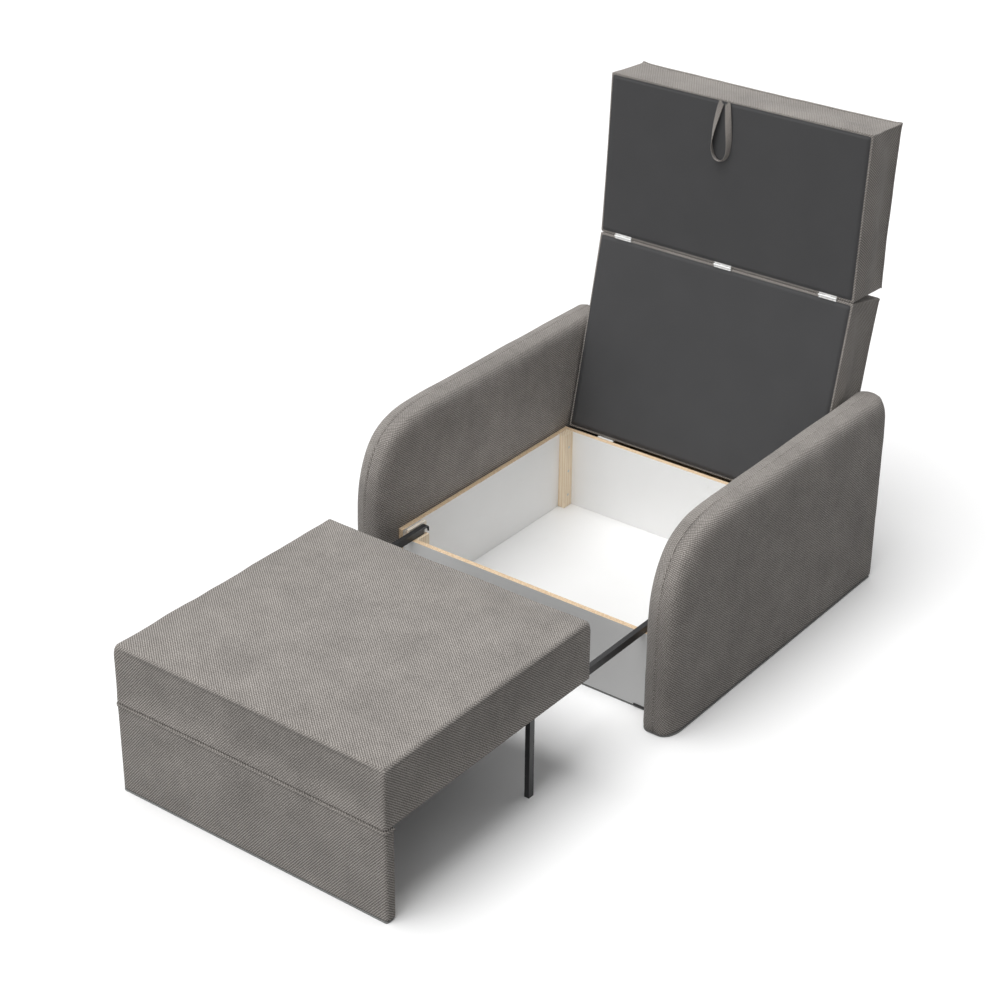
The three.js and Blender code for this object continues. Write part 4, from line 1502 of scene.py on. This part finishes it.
    def screws(self, finishes: Finishes) -> None:
        """Screws that hold the steel angle to the panel and the seat board."""
        low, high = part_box("panel_angle")
        sunk, radius = 0.0022, 0.0042
        y, z = (low.y + high.y) / 2, (low.z + high.z) / 2
        rows = (((y, high.z - sunk), (0, 0, -1)), ((low.y + sunk, z), (0, 1, 0)))
        heads = [
            screw_head(radius).placed((x, *place), axes_with_z(way))
            for place, way in rows
            for x in np.linspace(low.x + 0.04, high.x - 0.04, 5)
        ]
        add_piece("panel_angle_screws", gathered(heads), finishes.screw, Body.SEAT)


@dataclass(frozen=True)
class Leaf:
    """One back leaf: its cushion and its lining, in a frame that starts on its hinge axis."""

    name: str
    body: Body
    origin: tuple[float, float, float]
    along: tuple[float, float, float]
    start: float
    end: float
    lining_start: float
    lining_end: float
    seed: int
    firm_end: int
    ears: float = 0.0
    half: float = 0.4435
    lining_half: float = 0.4355
    cloth_plane: float = -0.0033
    lining_plane: float = -0.0024
    rear: float = -0.1792
    welt_radius: float = 0.0015
    fold_radius: float = 0.0011

    @property
    def axes(self) -> Array:
        """Across, along, and out of the black face, as rows."""
        across, along = np.array([1.0, 0.0, 0.0]), unit(np.array(self.along))
        return np.stack([across, along, np.cross(across, along)])

    @property
    def cloth_axes(self) -> Array:
        """Across, towards the cushion and along: the cloth lies as on an upright block."""
        across, along, out = self.axes
        return np.stack([across, -out, along])

    def build(self, finishes: Finishes) -> None:
        """Builds the cushion with its welt, and the lining with its folded edge."""
        cushion = Cushion(
            f"{self.name}_cloth", (-self.half, self.start, self.rear),
            (self.half, self.end, self.cloth_plane), edge=0.009, hem=0.0015, corner=0.006,
            crown=0.012, crown_up=False, power=8, seed=self.seed, origin=self.origin,
            axes=self.axes, cloth_axes=self.cloth_axes, firm_end=self.firm_end, ears=self.ears,
        )
        form = cushion.make(finishes.cloth, self.body, f"{self.name}_cushion")
        path, normals = cushion.side_line(form)
        radius = self.welt_radius
        welt = swept(path + normals * radius * 0.35, ring_section(radius), normals)
        sew(f"{self.name}_welt", welt, finishes.cloth, self.body)
        self.lining(finishes)

    def lining(self, finishes: Finishes) -> None:
        """The black cloth on the underside, tight, with hills of a tenth of a millimetre."""
        low, high = (-self.lining_half, self.lining_start), (self.lining_half, self.lining_end)
        x, y = sheet_places(low, high, (60, 44))
        flat = np.stack([x, y, np.zeros_like(x)], -1).reshape(-1, 3)
        flat[:, 2] = self.lining_plane + undulation(flat, 0.16, 0.00012, self.seed + 9)
        form = Form(flat, grid_quads(*x.shape)[:, ::-1]).placed(self.origin, self.axes)
        name, cloth, slot = f"{self.name}_lining", finishes.lining, Slot.BLACK_CLOTH
        piece = add_piece(name, form, cloth, self.body, [f"{self.name}_cover"])
        stretch_lining(piece, self.axes)
        ring = rectangle(low, high, np.linspace(0.004, 0.996, 40))
        path = np.column_stack([ring, np.full(len(ring), self.lining_plane)])
        world = np.asarray(self.origin) + path @ self.axes
        out = np.broadcast_to(self.axes[2], world.shape)
        fold = swept(world, ring_section(self.fold_radius, 8, 0.7), out, True)
        lay_cloth(add_piece(f"{name}_fold", fold, cloth, self.body), self.axes)


@dataclass
class BackLeaves:
    """Both leaves of the back, their hinges and the pull loop."""

    lower: Leaf = Leaf(
        "lower_back", Body.LOWER_BACK, (0.0, 0.813099, 0.2728), (0.0, 0.22920, 0.97338),
        0.0033, 0.6331, 0.0113, 0.6251, 11, 1,
    )
    upper: Leaf = Leaf(
        "upper_back", Body.UPPER_BACK, (0.0, 0.958320, 0.889533), (0.0, 0.06349, 0.99798),
        0.0005, 0.5012, 0.0085, 0.4932, 17, -1, 0.003,
    )
    loop_x: float = -0.042
    loop_top: float = 0.492
    loop_foot: float = 0.318
    loop_half: float = 0.033
    strip_width: float = 0.019
    strip_thickness: float = 0.0026
    strip_twist: float = math.radians(78)

    def build(self, finishes: Finishes) -> None:
        """Builds the leaves and the loop, and dresses boards and hinges."""
        self.lower.build(finishes)
        self.upper.build(finishes)
        self.loop(finishes)
        dress(finishes.chipboard, "lower_back_board", "upper_back_board")
        for part in ("lower_leaf", "upper_leaf", "pin"):
            dress(finishes.zinc, *(f"fold_hinge_{part}_{n}" for n in (1, 2, 3)))
        for side in Side:
            dress(finishes.zinc, *(f"back_hinge_{part}_{side.word}" for part in ("leaf", "plate")))
        self.hinge_screws(finishes)

    def loop(self, finishes: Finishes) -> None:
        """The pull loop: a folded strip carried round a tall drop, turning as it goes.

        With a the angle round the loop and down = (1 - cos a) / 2, its middle line swings out by
        half * 1.18 * sin a * (0.28 + 0.72 * down) and falls from top to foot as down^0.86. The
        strip turns from lying on the leaf at the top to standing on edge at the foot.
        """
        t = np.linspace(0.0, 1.0, 121)
        angle = TURN * t
        down = 0.5 - 0.5 * np.cos(angle)
        swing = np.sin(angle) * (0.28 + 0.72 * down) * 1.18
        apart = np.where(t < 0.5, -1, 1) * 0.009 * (1 - down) ** 2
        x = self.loop_x - self.loop_half * swing + apart
        y = self.loop_top - (self.loop_top - self.loop_foot) * down**0.86
        z = 0.0012 + 0.0062 * np.sin(np.pi * np.clip(down * 1.15, 0, 1)) ** 0.8 + 0.004 * down**3
        path = np.stack([x, y, z], -1)
        ahead = unit(np.gradient(path, axis=0))
        face = np.array([0.0, 0.0, 1.0])
        flat_up = face - ahead * (ahead @ face)[:, None]
        side_up = np.cross(ahead, flat_up)
        twist = self.strip_twist * np.clip(down * 1.25, 0, 1)
        up = flat_up * np.cos(twist)[:, None] + side_up * np.sin(twist)[:, None]
        half, thick = self.strip_width / 2, self.strip_thickness / 2
        near = half * 0.85
        right_edge = [[half, -thick / 2], [half, thick / 2], [near, thick]]
        section = np.array([*right_edge, [0, thick * 1.15], [-near, thick]])
        section = np.vstack([section, -section])
        form = swept(path, section, up).placed(self.upper.origin, self.upper.axes)
        cloth, body = finishes.cloth, Body.UPPER_BACK
        piece = add_piece("pull_strip", form, cloth, body, ["pull_loop"])
        lay_cloth(piece, self.upper.cloth_axes)
        refine(piece)
        out = self.upper.axes[2]
        lying = tuple(np.asarray(self.upper.origin) - 0.0022 * out)
        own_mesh(piece)

    def hinge_screws(self, finishes: Finishes) -> None:
        """Screws in the flaps of the fold hinges."""
        for leaf, way in ((self.upper, 1), (self.lower, -1)):
            word = leaf.name.split("_")[0]
            heads = []
            for n in (1, 2, 3):
                low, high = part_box(f"fold_hinge_{word}_leaf_{n}")
                for x in np.linspace(low.x + 0.011, high.x - 0.011, 3):
                    at = np.array(self.upper.origin) + np.array([x, way * 0.0056, -0.0017]) @ leaf.axes
                    heads.append(screw_head(0.0021, 0.0009, 16).placed(at, leaf.axes))
            add_piece(f"{word}_hinge_screws", gathered(heads), finishes.screw, leaf.body)


@dataclass
class StorageBox:
    """The laminated box with its blocks, screws, plinth strip and stops."""

    edge: float = 0.0011
    floor_edge: float = 0.0006
    block_edge: float = 0.0009
    banded_over: float = 0.0006

    def build(self, finishes: Finishes) -> None:
        """Builds boards, blocks and screws, and dresses the rest."""
        for node in ("front_board", "back_board", "side_board_left", "side_board_right", "box_floor"):
            low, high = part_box(node)
            floor = node == "box_floor"
            over = FAR if floor else high.z - self.banded_over
            before = low.y + self.banded_over if node.startswith("side") else -FAR
            material = Laminate(f"laminate_{node}", over, before).make()
            form = rounded_block(tuple(low), tuple(high), self.floor_edge if floor else self.edge)
            add_piece(f"{node}_panel", form, material, Body.BASE, [node], False)
        for side in Side:
            for block, material in (
                ("rail_support_block", finishes.pine),
                ("corner_block", finishes.pine),
                ("rail_guide_block", finishes.pine_long),
            ):
                node = f"{block}_{side.word}"
                low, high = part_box(node)
                form = rounded_block(tuple(low), tuple(high), self.block_edge)
                add_piece(f"{node}_wood", form, material, Body.BASE, [node], False)
            dress(finishes.black, f"leg_stop_{side.word}")
        dress(finishes.grey, "plinth_strip")
        self.screws(finishes)
        self.rear_panel(finishes)

    def screws(self, finishes: Finishes) -> None:
        """Screws through the corner blocks, the support blocks, the guides and the box hinges."""
        heads = []

        def drive(at: Sequence[float], way: Sequence[float], *size: float) -> None:
            """Adds a head at a place, with its top that way."""
            heads.append(screw_head(*size).placed(at, axes_with_z(way)))

        for side in Side:
            inward = (-side.value, 0, 0)
            node = f"corner_block_{side.word}"
            low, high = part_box(node)
            for z in (0.225, 0.140, 0.055):
                x = inner_x(node, side) - side.value * 0.0001
                drive((x, (low.y + high.y) / 2, z), inward, 0.0044)
            node = f"rail_support_block_{side.word}"
            low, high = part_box(node)
            for z in (0.20, 0.07):
                drive((inner_x(node, side), (low.y + high.y) / 2 + 0.01, z), inward, 0.0044)
            node = f"rail_guide_block_{side.word}"
            low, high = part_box(node)
            for y in (low.y + 0.015, high.y - 0.015):
                drive((inner_x(node, side), y, (low.z + high.z) / 2), inward, 0.0036)
            low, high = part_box(f"back_hinge_plate_{side.word}")
            for x in np.linspace(low.x + 0.01, high.x - 0.01, 3):
                drive((x, low.y + 0.0013, low.z + 0.012), (0, 1, 0), 0.003, 0.0010)
        add_piece("box_screws", gathered(heads), finishes.screw, Body.BASE)

    def rear_panel(self, finishes: Finishes) -> None:
        """The low upholstered panel behind the back."""
        dress(finishes.chipboard, "rear_panel_board")
        low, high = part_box("rear_panel_pad")
        form = rounded_block(tuple(low), tuple(high), 0.0024, 0.02)
        p = form.points
        u = p[:, 0] / high.x
        v = (p[:, 2] - (low.z + high.z) / 2) / ((high.z - low.z) / 2)
        out = np.clip((p[:, 1] - low.y - 0.003) / 0.002, 0, 1)
        p[:, 1] += 0.0016 * fullness(u, v, 6) * out
        piece = add_piece(
            "rear_panel_cloth", form, finishes.cloth, Body.BASE, ["rear_panel_pad"]
        )
        upholster(piece)


@dataclass
class Carriage:
    """The sliding steel carriage: rails, legs, tie and rollers."""

    roller_radius: float = 0.008
    roller_width: float = 0.009
    axle_radius: float = 0.0026
    weld_radius: float = 0.0013

    def build(self, finishes: Finishes) -> None:
        """Dresses the steel, and builds the rollers, the legs' welds and the axle caps."""
        dress(finishes.steel, "rail_left", "rail_right", "leg_left", "leg_right", "cross_tube")
        dress(finishes.black, "leg_foot_left", "leg_foot_right")
        for side in Side:
            body = Body.ROLLER_LEFT if side is Side.LEFT else Body.ROLLER_RIGHT
            node = f"rail_roller_{side.word}"
            form = self.roller(node, side)
            add_piece(f"roller_{side.word}", form, finishes.nylon, body, [node])
        welds = gathered(self.weld(side) for side in Side)
        add_piece("leg_welds", welds, finishes.steel, Body.CARRIAGE)
        caps = gathered(self.axle_cap(side) for side in Side)
        add_piece("axle_caps", caps, finishes.nylon, Body.CARRIAGE)

    @staticmethod
    def middle(node: str) -> Array:
        """The middle of a node's box."""
        low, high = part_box(node)
        return (np.array(low) + np.array(high)) / 2

    def roller(self, node: str, side: Side) -> Form:
        """A roller with a grooved tread and recessed faces, and the hub on its inner side."""
        half, r, bore = self.roller_width / 2, self.roller_radius, self.axle_radius
        below = np.array(
            [[bore, -half], [r * 0.45, -half], [r * 0.5, -half * 0.72], [r * 0.8, -half * 0.72],
             [r * 0.86, -half], [r * 0.97, -half], [r, -half * 0.8], [r, -half * 0.3]]
        )
        above = (below * np.array([1, -1]))[::-1]
        profile = np.vstack([below, [[r * 0.93, 0.0]], above, below[:1]])
        hub = np.array(
            [[0.0, 0.0], [0.0056, 0.0], [0.0062, 0.0006], [0.0062, 0.0062], [0.0056, 0.0072],
             [0.0030, 0.0078], [0.0026, 0.0070], [0.0, 0.0070]]
        )
        centre = self.middle(node)
        rim = turned(profile, 36).placed(centre, axes_with_z((1, 0, 0)))
        return gathered([rim, turned(hub).placed(centre, axes_with_z((-side.value, 0, 0)))])

    def weld(self, side: Side) -> Form:
        """The weld bead round the top of a leg, with an uneven top."""
        low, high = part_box(f"leg_{side.word}")
        loop = rectangle(low, high, np.linspace(0, 1, 16, endpoint=False))
        inset = self.middle(f"leg_{side.word}")[:2]
        loop = inset + (loop - inset) * 0.985
        path = np.column_stack([loop, np.full(len(loop), high.z - 0.0006)])
        path[:, 2] += 0.0003 * np.sin(np.arange(len(path)) * 1.9)
        up = np.broadcast_to(np.array([0.0, 0.0, 1.0]), path.shape)
        return swept(path, ring_section(self.weld_radius, 6), up, True)

    def axle_cap(self, side: Side) -> Form:
        """The thin round end of a roller's axle on the inner face of its rail."""
        button = np.array(
            [[0.0, 0.0], [0.0062, 0.0], [0.0066, 0.0001], [0.0062, 0.00022], [0.0, 0.00022]]
        )
        _, y, z = self.middle(f"rail_roller_{side.word}")
        place = (inner_x(f"rail_{side.word}", side) - side.value * 0.00003, y, z)
        return turned(button).placed(place, axes_with_z((-side.value, 0, 0)))


# Studio


@dataclass
class Studio:
    """Camera, floor and light."""

    place: tuple[float, float, float] = (3.27187, -4.47650, 3.57609)
    right: tuple[float, float, float] = (0.79624, 0.60494, 0.00754)
    up: tuple[float, float, float] = (-0.29795, 0.38127, 0.87514)
    forward: tuple[float, float, float] = (-0.52653, 0.69906, -0.48382)
    lens: float = 82.44
    sensor: float = 36.0
    sky: float = 0.26
    overhead: tuple[float, float] = (2.4, 46)
    overhead_from: tuple[float, float, float] = (-0.16, -0.16, 1.0)
    front: tuple[float, float] = (1.3, 74)
    front_from: tuple[float, float, float] = (-0.1, -1.0, 0.28)
    rear: tuple[float, float] = (0.5, 90)
    rear_from: tuple[float, float, float] = (0.0, 1.0, 0.28)
    bounce: float = 0.22
    floor_half: float = 40.0
    view_end: float = 200.0

    def camera(self) -> None:
        """The camera at the photograph's place."""
        data = bpy.data.cameras.new("camera")
        data.lens, data.sensor_width, data.sensor_fit = self.lens, self.sensor, "HORIZONTAL"
        data.clip_end = self.view_end
        camera = bpy.data.objects.new("camera", data)
        back = tuple(-v for v in self.forward)
        rows = zip(self.right, self.up, back, self.place)
        camera.matrix_world = Matrix([*rows, (0, 0, 0, 1)])
        bpy.context.scene.collection.objects.link(camera)
        bpy.context.scene.camera = camera

    def lamp(self, name: str, origin: Sequence[float], strength: float, spread: float) -> None:
        """A wide, even light from one direction.

        Args:
            name: the lamp's name.
            origin: the direction it comes from.
            strength: its strength.
            spread: the angle that it fills, in degrees.
        """
        data = bpy.data.lights.new(name, "SUN")
        data.energy, data.angle = strength, math.radians(spread)
        lamp = bpy.data.objects.new(name, data)
        axes = axes_with_z(origin)
        lamp.matrix_world = Matrix([(*axes[:, k], 0.0) for k in range(3)] + [(0, 0, 0, 1)])
        bpy.context.scene.collection.objects.link(lamp)

    def world(self) -> None:
        """White to the camera and in reflections, and the soft sky for everything else."""
        world = bpy.data.worlds.new("studio")
        world.use_nodes = True
        bpy.context.scene.world = world
        g = Graph(world.node_tree)
        ground = g.tree.nodes["Background"]
        strength = g.add("MapRange", {0: g.seen(), 3: self.sky, 4: 1.0}).outputs[0]
        g.feed(ground.inputs["Strength"], strength)
        g.feed(ground.inputs["Color"], (1, 1, 1, 1))

    def floor(self) -> None:
        """A pale floor that keeps the shadow. It is whiter to the camera than to other rays."""
        edge = self.floor_half
        corners = [(-edge, -edge, 0), (edge, -edge, 0), (edge, edge, 0), (-edge, edge, 0)]
        mesh = bpy.data.meshes.new("floor")
        mesh.from_pydata(corners, [], [(0, 1, 2, 3)])
        floor = bpy.data.objects.new("floor", mesh)
        bpy.context.scene.collection.objects.link(floor)
        g = Surface("pale_floor")
        colour = g.mix(g.seen(), (self.bounce,) * 3, (1.0, 1.0, 1.0))
        mesh.materials.append(g.finish(colour, 1.0, constants={"Specular IOR Level": 0.0}))

    def build(self) -> None:
        """Sets up camera, floor and lights."""
        bpy.context.scene.view_settings.view_transform = "Standard"
        self.camera()
        self.world()
        self.floor()
        self.lamp("overhead", self.overhead_from, *self.overhead)
        self.lamp("front", self.front_from, *self.front)
        self.lamp("rear", self.rear_from, *self.rear)


def main() -> None:
    """Builds the studio and every sub-assembly in order."""
    logging.basicConfig(level=logging.INFO, format="%(name)s: %(message)s")
    Studio().build()
    finishes = Finishes()
    for assembly in (ArmSet(), SeatModule(), BackLeaves(), StorageBox(), Carriage()):
        assembly.build(finishes)
        log.info("finished %s", type(assembly).__name__)


if __name__ == "__main__":
    main()
